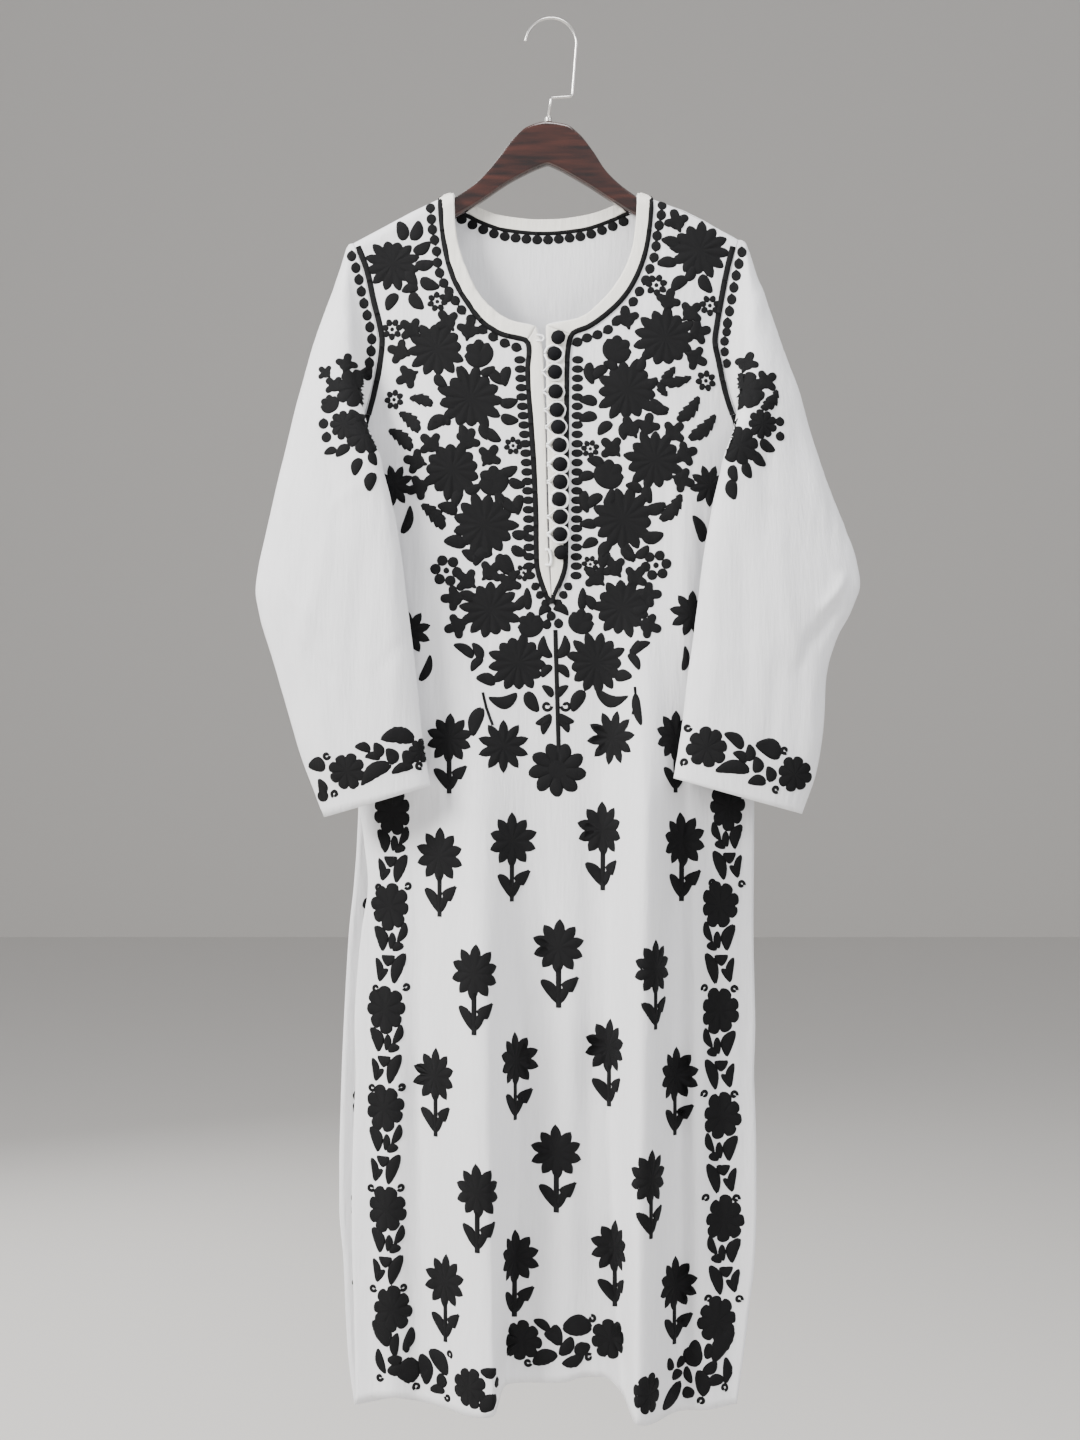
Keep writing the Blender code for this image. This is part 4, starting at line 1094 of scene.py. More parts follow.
def star_flower(work, at, size, seed):
    """A pointed flower on a stem with a plain leaf on its left and a notched one on its right."""
    draw = np.random.default_rng(seed)
    lean = draw.uniform(-0.08, 0.08)
    n = STAR_PETALS
    angles = angles_of(n * 8)
    phase = (angles * n / (2 * math.pi) + 0.5) % 1
    point = (1 - np.abs(2 * phase - 1)) ** 0.8
    petal = (angles * n / (2 * math.pi) + 0.5).astype(int) % n
    reach = 1 + draw.uniform(-0.12, 0.10, n)
    reach[0] = 1.25
    radii = size * STAR_RADIUS * (0.70 + 0.30 * point * reach[petal])
    work.fan(at, radii, lean, valley=(1 - point) ** 2, shares=FINE_RINGS)
    start, step, width = STAR_STEM
    work.cord(at, [(0.4 * k * size * lean, size * (start + step * k)) for k in range(6)], width * size, 1.0)
    foot = size * STAR_FOOT
    work.leaf(at, (-1 * size, foot), (-17.5 * size, foot - 24 * size), 11.5 * size, 0.10, blunt=1.15)
    work.leaf(at, (1 * size, foot), (20 * size, foot - 27 * size), 13.5 * size, -0.10, 2, 0.5, blunt=1.15)


def round_flower(work, at, radius, turn, petals=8, wide=1.0):
    """A flower of round petals; below 1, wide makes it narrow."""
    angles = angles_of(petals * 9)
    lobe = np.abs(np.sin(angles * petals / 2)) ** 0.5
    uneven = 1 + 0.04 * np.sin(3 * angles + turn * 7)
    across = 1 / np.sqrt((np.sin(angles + turn) / wide) ** 2 + np.cos(angles + turn) ** 2)
    radii = radius * (0.80 + 0.20 * lobe) * uneven * across
    work.fan(at, radii, turn, valley=(1 - lobe) ** 1.5, shares=FINE_RINGS)


# leaves of the side borders between two flowers, from the upper flower's centre
BORDER_LEAVES = (
    # base, tip, width, bend
    ((-7, 43), (-15.5, 17), 13, 0.14), ((6.8, 34), (15.6, 13.5), 8.6, 0.10),
    ((0.6, 40.5), (2.6, 23), 8.0, 0.05),
    ((2.2, 41), (14.6, 35.5), 9.0, -0.12), ((-9.2, 45.5), (6.3, 46.5), 11, 0.28),
    ((-11.4, 70), (-14.2, 46.5), 8.2, 0.12),
    ((-11, 70.5), (-1.2, 57), 7.5, -0.10), ((3.6, 73), (15.8, 41.5), 12.5, -0.07),
)
# where each curl lies, where it starts and which way it winds
BORDER_CURLS = (((-14.2, 76), 0.3, 1), ((16, 74), 2.6, -1))
BORDER_PITCH = 95.0
BORDER_FLOWER = 23.6
BORDER_FLOWER_WIDE = 0.85
CURL_RADIUS = 3.3


def run_of_leaves(work, at, to, mirror, width=1.0):
    """The leaves between two flowers of a border, with a curl on either side."""
    along = np.array([to[0] - at[0], to[1] - at[1]], float)
    length = float(np.linalg.norm(along))
    along /= length
    side = np.array([along[1], -along[0]]) * mirror
    stretch = length / BORDER_PITCH

    def place(u, v):
        return tuple(side * u + along * v * stretch)

    for base, tip, wide, bend in BORDER_LEAVES:
        work.leaf(at, place(*base), place(*tip), wide * width, bend * mirror, blunt=1.1)
    for spot, turn, hand in BORDER_CURLS:
        work.curl(at, CURL_RADIUS, turn, hand * mirror, place(*spot))


def side_border(work, places, mirror):
    """A column of flowers down one side, with leaves between them."""
    for i, (x, down) in enumerate(places):
        round_flower(work, (x, down), BORDER_FLOWER, 0.2 * mirror + down / 70, 8, BORDER_FLOWER_WIDE)
        if i + 1 < len(places):
            run_of_leaves(work, (x, down), (x, places[i + 1][1]), mirror)


# the yoke's needlework: places on the front, in millimetres (x, down)
BLOOM_SCALE = 1.06
SPRIG_RADIUS = 13.5
YOKE_LEAF_SCALE = 1.32
HALF_HIDDEN_PETALS = 9
LOWER_STAR_RADIUS = 25
BLOOMS = (
    # x, down, radius
    (-150.7, 237.1, 24), (-108.2, 319.4, 26), (-76.3, 367.2, 29.5), (-93.6, 434.9, 27.5),
    (-63.0, 486.7, 29.5),
    (141.5, 223.8, 26), (108.3, 308.8, 28.5), (72.4, 359.2, 28.5), (97.7, 425.6, 27),
    (68.4, 481.4, 29.5), (-57, 567, 27), (-31, 617, 27), (67, 565, 27), (43, 617, 27),
)
BUDS = ((-68, 325, 13.5), (-54, 446, 14), (62, 321, 13.5), (54, 440, 14), (-19, 582, 12), (28, 579, 12))
SPRIGS = (
    (-98, 294, -0.6), (-132, 301, -0.9), (-143, 322, -1.2), (-135, 345, -2.0), (-78, 302, 0.2),
    (-113, 411, -0.8),
    (-79, 408, 0.4), (-127, 427, -1.3), (-124, 451, -1.9), (-59, 423, 0.6), (-58, 532, 0.8), (-79, 540, -0.9),
    (-91, 556, -1.6), (-40, 542, 0.5), (120, 197, -0.3), (111, 274, 0.3), (132, 285, 0.8), (139, 303, 1.3),
    (136, 327, 2.0), (72, 291, -0.2), (91, 394, 0.2), (115, 400, 0.8), (126, 420, 1.2), (123, 444, 1.9),
    (76, 396, -0.5), (58, 415, -0.8), (60, 528, -0.6), (43, 537, -0.8), (79, 537, 0.7), (91, 553, 1.5),
    (-88, 582, -1.9), (91, 582, 1.9),
)
# plain leaves: middle, the way the tip points (0 is up, clockwise), length
YOKE_LEAVES = (
    (-143, 205, -0.3, 17), (-129, 205, 0.3, 17), (-123, 221, 1.0, 16), (-120, 237, 1.4, 16),
    (-132, 250, 2.6, 16), (-115, 256, 2.0, 17), (-151, 274, -2.6, 16), (-127, 273, 2.5, 17),
    (-108, 391, -2.2, 18), (-40, 370, 1.4, 15), (-39, 386, 1.8, 15), (-54, 402, 2.3, 15), (-40, 435, 1.2, 15),
    (-32, 447, 1.9, 14), (-91, 504, -1.4, 18), (-67, 517, -2.6, 17), (-40, 523, 2.6, 16), (-29, 495, 1.5, 14),
    (-30, 511, 2.0, 14), (-98, 472, -1.2, 17), (114, 217, -1.2, 16), (110, 237, -1.6, 16),
    (122, 257, -2.3, 17),
    (148, 256, 2.6, 17), (35, 370, -1.4, 15), (35, 386, -1.8, 15), (102, 375, 2.2, 18), (51, 396, -2.3, 15),
    (42, 428, -1.2, 15), (33, 442, -1.9, 14), (96, 497, 1.4, 18), (35, 487, -1.5, 14), (37, 505, -2.0, 14),
    (51, 511, -2.6, 16), (74, 513, 2.6, 17), (99, 470, 1.2, 17), (-62, 398, 2.9, 15), (-88, 462, -2.8, 15),
    (92, 458, 2.9, 15), (70, 398, -3.0, 15), (-86, 344, -0.4, 14), (84, 334, 0.4, 14), (-30, 560, 0.6, 14),
    (36, 560, -0.6, 14), (-80, 555, -1.3, 15), (84, 566, 1.2, 15), (-96, 372, -1.1, 15), (-84, 400, -0.2, 15),
    (94, 352, 0.9, 14), (-50, 462, -0.3, 14), (-74, 452, 1.2, 14), (78, 452, -1.2, 14), (55, 460, 0.3, 14),
    (-104, 350, 2.4, 14), (-60, 340, 1.1, 13), (56, 336, -1.1, 13), (-78, 516, -0.9, 14), (86, 512, 0.8, 14),
    (-134, 262, -1.8, 14), (132, 246, 0.4, 14), (-98, 268, 0.4, 12),
)
# below the slit: base, tip, width, bend
STEM_LEAVES = (
    ((1, 613.7), (-7, 590), 11, -0.2), ((4, 613.7), (13, 589.5), 11, 0.2),
    ((1.2, 619), (-9.3, 631.6), 9, 0.1),
    ((4.4, 619), (17.5, 632), 9, -0.1), ((2, 650), (-9.3, 638), 8, 0.1), ((5.2, 650), (17, 638), 8, -0.1),
    ((1.2, 665.8), (-15.9, 675), 9, -0.1), ((5, 665.8), (23, 673), 9, 0.1), ((0, 668), (-8, 686), 9, 0.1),
    ((6, 668), (17, 684), 9, -0.1), ((1, 565), (-12, 573), 9, 0.2), ((1, 565), (17, 573), 9, -0.2),
    ((-21.9, 568.5), (-22.9, 544.8), 9, 0.0), ((28.9, 568.5), (30.2, 544.8), 9, 0.0),
    ((-72.4, 613), (-93.4, 599.3), 10, 0.1), ((-65.8, 615.8), (-75, 597.4), 10, 0.1),
    ((-64, 612), (-76, 626), 9, 0.1),
    ((73.5, 610.6), (94.6, 597.4), 10, -0.1), ((72, 608), (83.8, 625), 9, -0.1),
    ((74, 610), (82.8, 595), 9, 0.1),
    ((-51.3, 636.9), (-72, 631), 12, 0.1), ((59, 631.6), (79, 630.3), 12, -0.1),
    ((-30.3, 646), (-61, 649.3), 13, -0.24),
    ((-23.7, 643.4), (-11.4, 664.5), 13, 0.05), ((40.7, 642), (77.5, 648), 12.5, 0.24),
    ((31.5, 642), (19.6, 664.5), 13, 0.05),
    ((-64.5, 658), (-74.2, 688), 14, 0.08), ((78.8, 644.8), (84.9, 677.6), 9.5, 0.05),
    ((-54, 513.3), (-77.6, 521), 10, 0.1),
    ((-51.3, 513.3), (-35.6, 535.6), 13, 0.05), ((53.8, 510.7), (47.3, 529), 12, 0.05),
    ((65.7, 511.2), (82.8, 517.2), 9, 0.1),
    ((-125, 635.6), (-113.9, 608), 9, 0.1), ((124, 626), (126, 600), 8, 0.1),
    ((-142, 496), (-132.9, 467), 10, 0.1),
    ((144.5, 504), (132.7, 476.5), 12, 0.1),
)
HEART_LEAVES = ((-46, 346, 2.8), (-34, 468, 2.8), (42, 343, -2.8), (37, 465, -2.8))
TOOTHED_LEAVES = (
    # base, tip, width, teeth
    ((-123.6, 399.9), (-146, 378.3), 14.5, 5), ((-130.2, 417), (-157, 394.6), 15, 5),
    ((-110.5, 373.6), (-136, 365.7), 12.5, 4),
    ((-93.4, 390.7), (-115, 388), 11, 3), ((-100, 492), (-124, 466), 15.5, 5),
    ((118.3, 389.4), (141.9, 362.6), 15, 5),
    ((128.8, 406.5), (159, 379.4), 15.5, 5), ((93.3, 376.2), (113, 376.8), 11.5, 3),
    ((101.2, 351.3), (135.4, 345.2), 12.5, 4),
    ((102, 350), (110.4, 365.7), 10, 3), ((104, 349), (118.3, 335.5), 10, 3),
    ((102, 484), (124, 456), 15.5, 5),
)
OPEN_FLOWERS = (
    # x, down, radius, petals
    (-108, 274, 10, 7), (-151, 300, 10.5, 7), (-149, 367, 10, 7), (-36, 412, 9, 7), (-26, 532, 8.5, 7),
    (100, 258, 11, 7), (151, 277, 10.5, 7), (147, 349, 10.5, 7), (37, 415, 9, 7), (37, 524, 8.5, 7),
    (-99, 530, 15.5, 6), (99, 525, 15, 6),
)
HALF_HIDDEN = ((-149, 449, 21), (150, 449, 21), (-134, 588, 22), (133, 571, 23))
LOWER_STARS = (
    # x, down, size, and whether it stands on a stem with leaves
    (-45, 696, 1.04, False), (58, 688, 1.08, False), (-96, 689, 0.9, True), (117, 687, 0.92, True),
)
STARS = (
    (-105, 799), (-37, 785), (49, 775), (123, 785), (-72, 907), (7, 886), (97, 902), (-109, 1007), (-34, 992),
    (55, 980), (117, 1007), (-69, 1111), (5, 1081), (93, 1098), (-100, 1202), (-35, 1182), (61, 1172),
    (117, 1207),
)
LEFT_BORDER = ((-151, 758), (-153, 848), (-157, 945), (-158, 1039), (-156, 1135), (-151, 1231))
RIGHT_BORDER = ((168, 753), (160, 846), (160, 947), (162, 1047), (165, 1146), (158, 1242))
HEM_FLOWERS = ((-77, 1297), (-28, 1262), (57, 1260), (91, 1301))
HEM_LEAVES = (
    # base, tip, width
    ((-154, 1267), (-170, 1242), 15), ((-148, 1277), (-146, 1253), 8), ((-141, 1271), (-132, 1248), 9),
    ((-141, 1269), (-134, 1269), 8), ((-156, 1279), (-141, 1278), 9), ((-157, 1293), (-165, 1269), 8),
    ((-156, 1291), (-141, 1284), 10), ((-134, 1303), (-134, 1277), 20), ((-118, 1303), (-124, 1274), 13),
    ((-120, 1304), (-113, 1287), 9), ((-95, 1291), (-118, 1270), 15), ((-104, 1290), (-105, 1305), 12),
    ((-98, 1307), (-117, 1308), 8), ((-47, 1279), (-67, 1279), 9), ((-45, 1293), (-57, 1291), 9),
    ((-67, 1317), (-47, 1303), 13), ((0, 1253), (-17, 1242), 8), ((8, 1266), (4, 1245), 12),
    ((8, 1262), (-7, 1254), 9), ((10, 1248), (40, 1250), 18), ((8, 1275), (20, 1257), 11),
    ((-18, 1284), (7, 1274), 13), ((10, 1283), (32, 1275), 10), ((26, 1263), (31, 1277), 14),
    ((99, 1322), (127, 1301), 14), ((118, 1288), (109, 1276), 9), ((120, 1288), (125, 1276), 7),
    ((113, 1297), (126, 1292), 9), ((140, 1286), (128, 1269), 17), ((140, 1279), (137, 1260), 11),
    ((148, 1279), (150, 1263), 9), ((154, 1282), (175, 1252), 15), ((144, 1292), (158, 1281), 10),
    ((148, 1302), (166, 1299), 10), ((166, 1304), (166, 1278), 8), ((134, 1303), (129, 1286), 7),
    ((145, 1315), (140, 1289), 13), ((125, 1315), (137, 1310), 10),
)
HEM_CURLS = (
    (-163, 1297), (-96, 1270), (-128, 1306), (-98, 1312), (39, 1241), (36, 1278), (-22, 1283), (165, 1307),
    (143, 1319),
)
NECK_DOTS_LEFT = (
    (-115, 183), (-114, 194), (-113, 204), (-111, 214), (-109, 225), (-108, 236), (-106, 246), (-102, 256),
    (-97, 264), (-91, 273), (-85, 282), (-76, 291), (-65, 301), (-55, 308), (-44, 314), (-33, 318),
)
NECK_DOTS_RIGHT = (
    (106, 180), (105, 190), (103, 200), (101, 210), (100, 220), (98, 231), (94, 242), (90, 253), (84, 264),
    (78, 274), (70, 284), (62, 293), (54, 301), (44, 306), (34, 309), (25, 313),
)
LINE_WIDTH = 6.6
LINE_HEIGHT = 1.3
PLACKET_POINT = (0.6, 561.0)
POINT_DOTS = ((15.5, 545), (11, 553), (6, 561))  # to either side of the point, and down
STRIP_DOTS = 24
STRIP_DOTS_START = 330.0
STRIP_DOTS_PITCH = 8.9
STRIP_DOTS_AWAY = 9.6
# the width and height of a dot beside the neck's line, beside a strip, and round the strips' point
NECK_DOT = (9.8, 10.4)
STRIP_DOT = (11.6, 8.0)
POINT_DOT = (9.0, 8.0)
LINE_OVER_BAND = 0.9
LINE_BESIDE_STRIP = 3.2
STRIP_STARTS = 318  # where the neck's line leaves the band for the strip
ARMHOLE_LINE_FRONT = (220.0, 3.4)  # where it starts, and how far in from the edge it runs
ARMHOLE_LINE_BACK = (222.0, 2.2)
ARMHOLE_LINE_ENDS = 410.0

# the stem below the slit
STEM_DOTS = ((0, 573), (-4, 581), (7, 580))
STEM_TOP = (4, 586)
STEM_POINTS = 14
STEM_STEP = 9.0
STEM_SPIRALS = ((-4, 1), (14, -1))
STEM_SPIRALS_DOWN = 658
STEM_SIDE_LINES = (((-64.5, 645), (-61, 660), (-55, 676)), ((78.5, 640), (79.5, 652), (76, 666)))
STEM_ENDING = (6, 718)
ENDING_PETALS = 9

# the back's needlework
BACK_STAR_ROWS = 9
BACK_STAR_START = (-108, 330)
BACK_STAR_PITCH = (70, 102)
BACK_STAR_SIZE = 0.95
BACK_HEM_FLOWERS = (-100, -50, 0, 50, 100)
BACK_HEM_FLOWER_UP = 40
BACK_BORDER_START = 756
BACK_BORDER_FLOWERS = 6
BACK_BORDER_INSET = 30


def band_edges(side):
    """The outer edge of the neck band and the placket strip, from the shoulder to the slit's foot."""
    rows = front_rows(side)
    edge = [row[1] for row in rows[: SLIT_ROWS + 1]]
    return np.array([(x, down) for x, down in edge if down < 540] + [(PLACKET_POINT[0], PLACKET_POINT[1])])


def smooth_line(points, pitch):
    """Points this far apart along a line of given ones."""
    points = eased(points, 12)
    gone = np.concatenate([[0], np.cumsum(np.linalg.norm(np.diff(points, axis=0), axis=1))])
    count = max(2, int(round(gone[-1] / pitch)))
    at = np.linspace(0, gone[-1], count + 1)
    return np.stack([np.interp(at, gone, points[:, i]) for i in range(points.shape[1])], -1)


def run_cord(work, line, width, height):
    """A long line of stitches in short stretches, so that each stays true on the cloth."""
    step = 8
    for i in range(0, len(line) - 1, step):
        part = line[i: i + step + 1]
        at = (float(part[0][0]), float(part[0][1]), 0)
        work.cord(at, part - part[0], width, height, 0.12 * (height < BAND_WALL))


def front_needlework():
    """All that is sewn on the front panel."""
    work = Needlework()
    yoke_needlework(work)
    stem_needlework(work)
    for i, place in enumerate(STARS):
        star_flower(work, place, 1.0, i)
    for side, places in ((1, LEFT_BORDER), (-1, RIGHT_BORDER)):
        side_border(work, places, side)
    hem_needlework(work)
    neck_needlework(work)
    for side in ("left", "right"):
        armhole_line(work, FRONT_EDGE, side, ARMHOLE_LINE_FRONT, LINE_HEIGHT)
    return work


def yoke_needlework(work):
    """The flowers and leaves from the shoulders to the waist."""
    for i, (x, down, radius) in enumerate(BLOOMS):
        work.bloom((x, down), radius * BLOOM_SCALE, 13 if radius > 26 else 12, i * 0.7, i)
    for x, down, radius in BUDS:
        work.bud((x, down), radius, -0.5 if x < 4 else 0.5)
    for x, down, turn in SPRIGS:
        work.sprig((x, down), SPRIG_RADIUS, turn)
    for x, down, turn, length in YOKE_LEAVES:
        work.leaf_towards((x, down), turn, length * YOKE_LEAF_SCALE)
    for leaf in STEM_LEAVES:
        work.leaf_between(*leaf)
    for x, down, turn in HEART_LEAVES:
        work.leaf_towards((x - 4, down), turn - 0.5, 24, 11)
        work.leaf_towards((x + 4, down), turn + 0.5, 22, 11)
    for base, tip, width, teeth in TOOTHED_LEAVES:
        work.leaf_between(base, tip, width, 0.08, teeth=teeth, depth=0.3)
    for x, down, radius, petals in OPEN_FLOWERS:
        work.open_flower((x, down), radius, petals, x * 0.3)
    for x, down, radius in HALF_HIDDEN:
        work.star((x, down), radius, HALF_HIDDEN_PETALS, x * 0.1)
    for i, (x, down, size, stands) in enumerate(LOWER_STARS):
        if stands:
            star_flower(work, (x, down), size, 40 + i)
        else:
            work.star((x, down), LOWER_STAR_RADIUS * size, STAR_PETALS, 0.2 * i)


def stem_needlework(work):
    """The stem below the slit, with its dots, spirals and side lines and the flower that it ends in."""
    for place in STEM_DOTS:
        work.dot(place, 9.4, 9.6)
    work.cord(STEM_TOP, [(0.25 * k, STEM_STEP * k) for k in range(STEM_POINTS)], 5.0, 1.0)
    for x, hand in STEM_SPIRALS:
        work.curl((x, STEM_SPIRALS_DOWN), 4.6, math.pi * (hand < 0), hand)
    for path in STEM_SIDE_LINES:
        work.cord(path[0], [(x - path[0][0], down - path[0][1]) for x, down in path], 3.2, 0.9)
    for k in range(ENDING_PETALS):
        a = math.pi * (0.10 + 1.8 * k / (ENDING_PETALS - 1))
        u, v = math.sin(a), -math.cos(a)
        work.leaf(STEM_ENDING, (u * 4, v * 4), (u * 29, v * 27), 13.5, 0.05, blunt=1.3)
    work.dot(STEM_ENDING, 27, 25)


def hem_needlework(work):
    """The garlands at the hem's two corners and its middle."""
    for i, place in enumerate(HEM_FLOWERS):
        round_flower(work, place, 20, i * 0.5)
    for i, (base, tip, width) in enumerate(HEM_LEAVES):  # each is set at its own middle
        x, down = (base[0] + tip[0]) / 2, (base[1] + tip[1]) / 2
        ends = [((place[0] - x) * 1.08, (place[1] - down) * 1.08) for place in (base, tip)]
        work.leaf((x, down), *ends, width * 1.2, 0.08 * (-1) ** i, blunt=1.0)
    for i, place in enumerate(HEM_CURLS):
        work.curl(place, CURL_RADIUS, i * 1.1, (-1) ** i)


def neck_needlework(work):
    """The line and the dots along the neck band and down both strips."""
    for side, dots in (("left", NECK_DOTS_LEFT), ("right", NECK_DOTS_RIGHT)):
        out = -1 if side == "left" else 1
        line = smooth_line(band_edges(side), 4.0)
        away = np.gradient(line, axis=0)
        away = np.stack([-away[:, 1], away[:, 0]], -1) / np.linalg.norm(away, axis=1, keepdims=True)
        away *= np.sign(away[len(away) // 3][0] * out) or 1
        # it covers the band's outer edge, but runs beside the strip that has the loops
        beside = smooth((line[:, 1:] - STRIP_STARTS) / 24) if side == "left" else 0.0
        line = line + away * (LINE_BESIDE_STRIP * beside - LINE_OVER_BAND)
        line[-1] = PLACKET_POINT
        line[-2] = (line[-3] + line[-1]) / 2
        run_cord(work, line, LINE_WIDTH - 0.4, BAND_WALL + LINE_HEIGHT)
        line_dots = np.array(dots, float)
        slope = np.gradient(line_dots, axis=0)
        for place, (dx, dd) in zip(line_dots, slope):
            work.dot(place, *NECK_DOT, math.atan2(dd, dx) + math.pi / 2, 0.2)
        for k in range(STRIP_DOTS):
            down = STRIP_DOTS_START + k * STRIP_DOTS_PITCH
            x = float(read(PLACKET, "down", side + "_out", down)) + out * STRIP_DOTS_AWAY
            work.dot((x, down), *STRIP_DOT, 0.0, 0.0)
        for x, down in POINT_DOTS:
            work.dot((PLACKET_POINT[0] + out * x, down), *POINT_DOT, 0.6 * out)


def armhole_line(work, edges, side, where, height):
    """The line that runs beside one armhole's seam."""
    start, inset = where
    downs = np.arange(start, ARMHOLE_LINE_ENDS, 4.0)
    x = read(edges, "down", side, downs) + (inset if side == "left" else -inset)
    run_cord(work, np.stack([x, downs], -1), LINE_WIDTH, height)


def back_border(side):
    """The places of the flowers in one of the back's side borders."""
    inward = 1 if side == "left" else -1
    downs = BACK_BORDER_START + BORDER_PITCH * np.arange(BACK_BORDER_FLOWERS)
    edge = [float(read(BACK_EDGE, "down", side, down)) for down in downs]
    return [(x + inward * BACK_BORDER_INSET, float(down)) for x, down in zip(edge, downs)]


def neck_row(start, end, count, below):
    """Places along the back neck, this far below its edge."""
    x = np.linspace(start, end, count)
    return np.stack([x, read(BACK_NECK, "x", "down", x) + below], -1)


def back_needlework():
    """What isn't seen, with the front's own motifs: neck line, borders and scattered stars."""
    work = Needlework()
    run_cord(work, neck_row(-104, 94, 40, 17.5), LINE_WIDTH, 1.0)
    for x in np.arange(-100, 92, 10.0):
        work.dot((x, float(read(BACK_NECK, "x", "down", x)) + 24.5), 8.4, 7.6)
    for side in ("left", "right"):
        armhole_line(work, BACK_EDGE, side, ARMHOLE_LINE_BACK, 1.0)
        side_border(work, back_border(side), 1 if side == "left" else -1)
    start_x, start_down = BACK_STAR_START
    pitch_x, pitch_down = BACK_STAR_PITCH
    for row in range(BACK_STAR_ROWS):
        for column in range(4 - row % 2):  # every other row has one star fewer, between the others
            x = start_x + column * pitch_x + (row % 2) * pitch_x / 2
            down = start_down + row * pitch_down + 12 * math.sin(column * 2 + row)
            star_flower(work, (x, down), BACK_STAR_SIZE, row * 5 + column)
    for i, x in enumerate(BACK_HEM_FLOWERS):
        down = float(read(BACK_HEM, "x", "down", x)) - BACK_HEM_FLOWER_UP
        round_flower(work, (x, down), 20.5, i * 0.6)
        if x != BACK_HEM_FLOWERS[-1]:
            run_of_leaves(work, (x, down), (x + 50, down), 1, 0.8)
    return work


def inner_needlework():
    """What shows inside the back: the line and dots below the neck, and the borders at the slits."""
    work = Needlework()
    run_cord(work, neck_row(-90, 78, 36, 12.3) + (0, 0.9), 4.6, 1.2)
    for x in np.arange(-86, 76, 10.4):
        work.dot((x, float(read(BACK_NECK, "x", "down", x)) + 19.4), 10.4, 9.6)
    for side in ("left", "right"):
        side_border(work, back_border(side), 1 if side == "left" else -1)
    return work


SLEEVE_CREASES_FRONT = {
    "left": table(
        "x down x_end down_end width height",
        (-228, 330, -262, 520, 9, 1.6), (-205, 470, -238, 640, 8, 1.4), (-172, 470, -186, 700, 9, -1.5),
        (-150, 500, -146, 720, 8, 1.4), (-262, 560, -226, 700, 7, -1.4), (-258, 530, -214, 600, 6, 1.3),
        (-240, 590, -196, 640, 6, -1.2), (-215, 350, -196, 520, 8, -1.2), (-222, 640, -196, 745, 7, 1.2),
        (-204, 240, -186, 320, 7, 0.9), (-160, 440, -214, 480, 6, 0.9), (-136, 590, -168, 640, 5, -1.0),
    ),
    "right": table(
        "x down x_end down_end width height",
        (222, 320, 262, 500, 9, 1.6), (278, 530, 250, 575, 5, 2.6), (272, 548, 244, 610, 6, -2.0),
        (205, 470, 232, 640, 8, 1.3), (172, 470, 186, 690, 9, -1.5), (152, 500, 146, 700, 8, 1.4),
        (250, 600, 236, 730, 8, 1.5), (262, 560, 222, 640, 6, -1.3), (212, 350, 196, 520, 8, -1.2),
        (214, 600, 196, 720, 7, -1.2), (204, 240, 186, 320, 7, 0.9), (160, 440, 214, 470, 6, 0.9),
    ),
}
SLEEVE_WAVES = crinkle_waves(13)
CUFF_BAND = 12.0
CUFF_PUCKER_HEIGHT = 0.4
CUFF_TEETH = 4
SLEEVE_DOT = (9.6, 10.8)
SLEEVE_DOT_AWAY = 6.5
ARMHOLE_DOTS_PITCH = 11.4
ARMHOLE_DOTS_END = {"left": 346, "right": 300, "back": 362}


def sleeve_grid(side, sections):
    """The sleeve's outer face with its creases, from the armhole to the cuff."""
    grid = finer(np.array(sleeve_rings(side, sections)), 7, 5, closed=True)
    along = np.gradient(grid, axis=0)
    around = np.roll(grid, -1, axis=1) - np.roll(grid, 1, axis=1)
    normal = np.cross(along, around)
    normal /= np.linalg.norm(normal, axis=-1, keepdims=True) + 1e-9
    away = grid - grid.mean(axis=1, keepdims=True)
    normal *= np.where((normal * away).sum(axis=(1, 2), keepdims=True) < 0, -1.0, 1.0)
    x, down = grid[..., 0], grid[..., 2]
    creases = SLEEVE_CREASES_FRONT[side]
    facing = smooth((0.35 - normal[..., 1]) / 0.7)
    height = crease_height(creases, x, down) * facing
    height = height + crease_height(creases, x * 0.985, down - 26) * (1 - facing) * 0.9
    height = height + crinkle(SLEEVE_WAVES, x * 1.2 + 40 * facing, down)
    height = height * smooth(np.arange(len(grid)) / 14)[:, None]
    length = np.cumsum(np.linalg.norm(np.diff(grid, axis=0, prepend=grid[:1]), axis=-1), axis=0)
    to_cuff = length[-1][None, :] - length
    spot = np.cumsum(np.linalg.norm(around, axis=-1) / 2, axis=1)
    height = height + HEM_STEP * smooth((CUFF_BAND + 1 - to_cuff) / 2)
    puckers = np.sin(2 * math.pi * spot / PUCKER_PITCH + 2 * np.sin(spot / 21))
    height = height + CUFF_PUCKER_HEIGHT * np.exp(-((to_cuff - CUFF_BAND - 3) / 6) ** 2) * puckers
    return grid + normal * height[..., None]


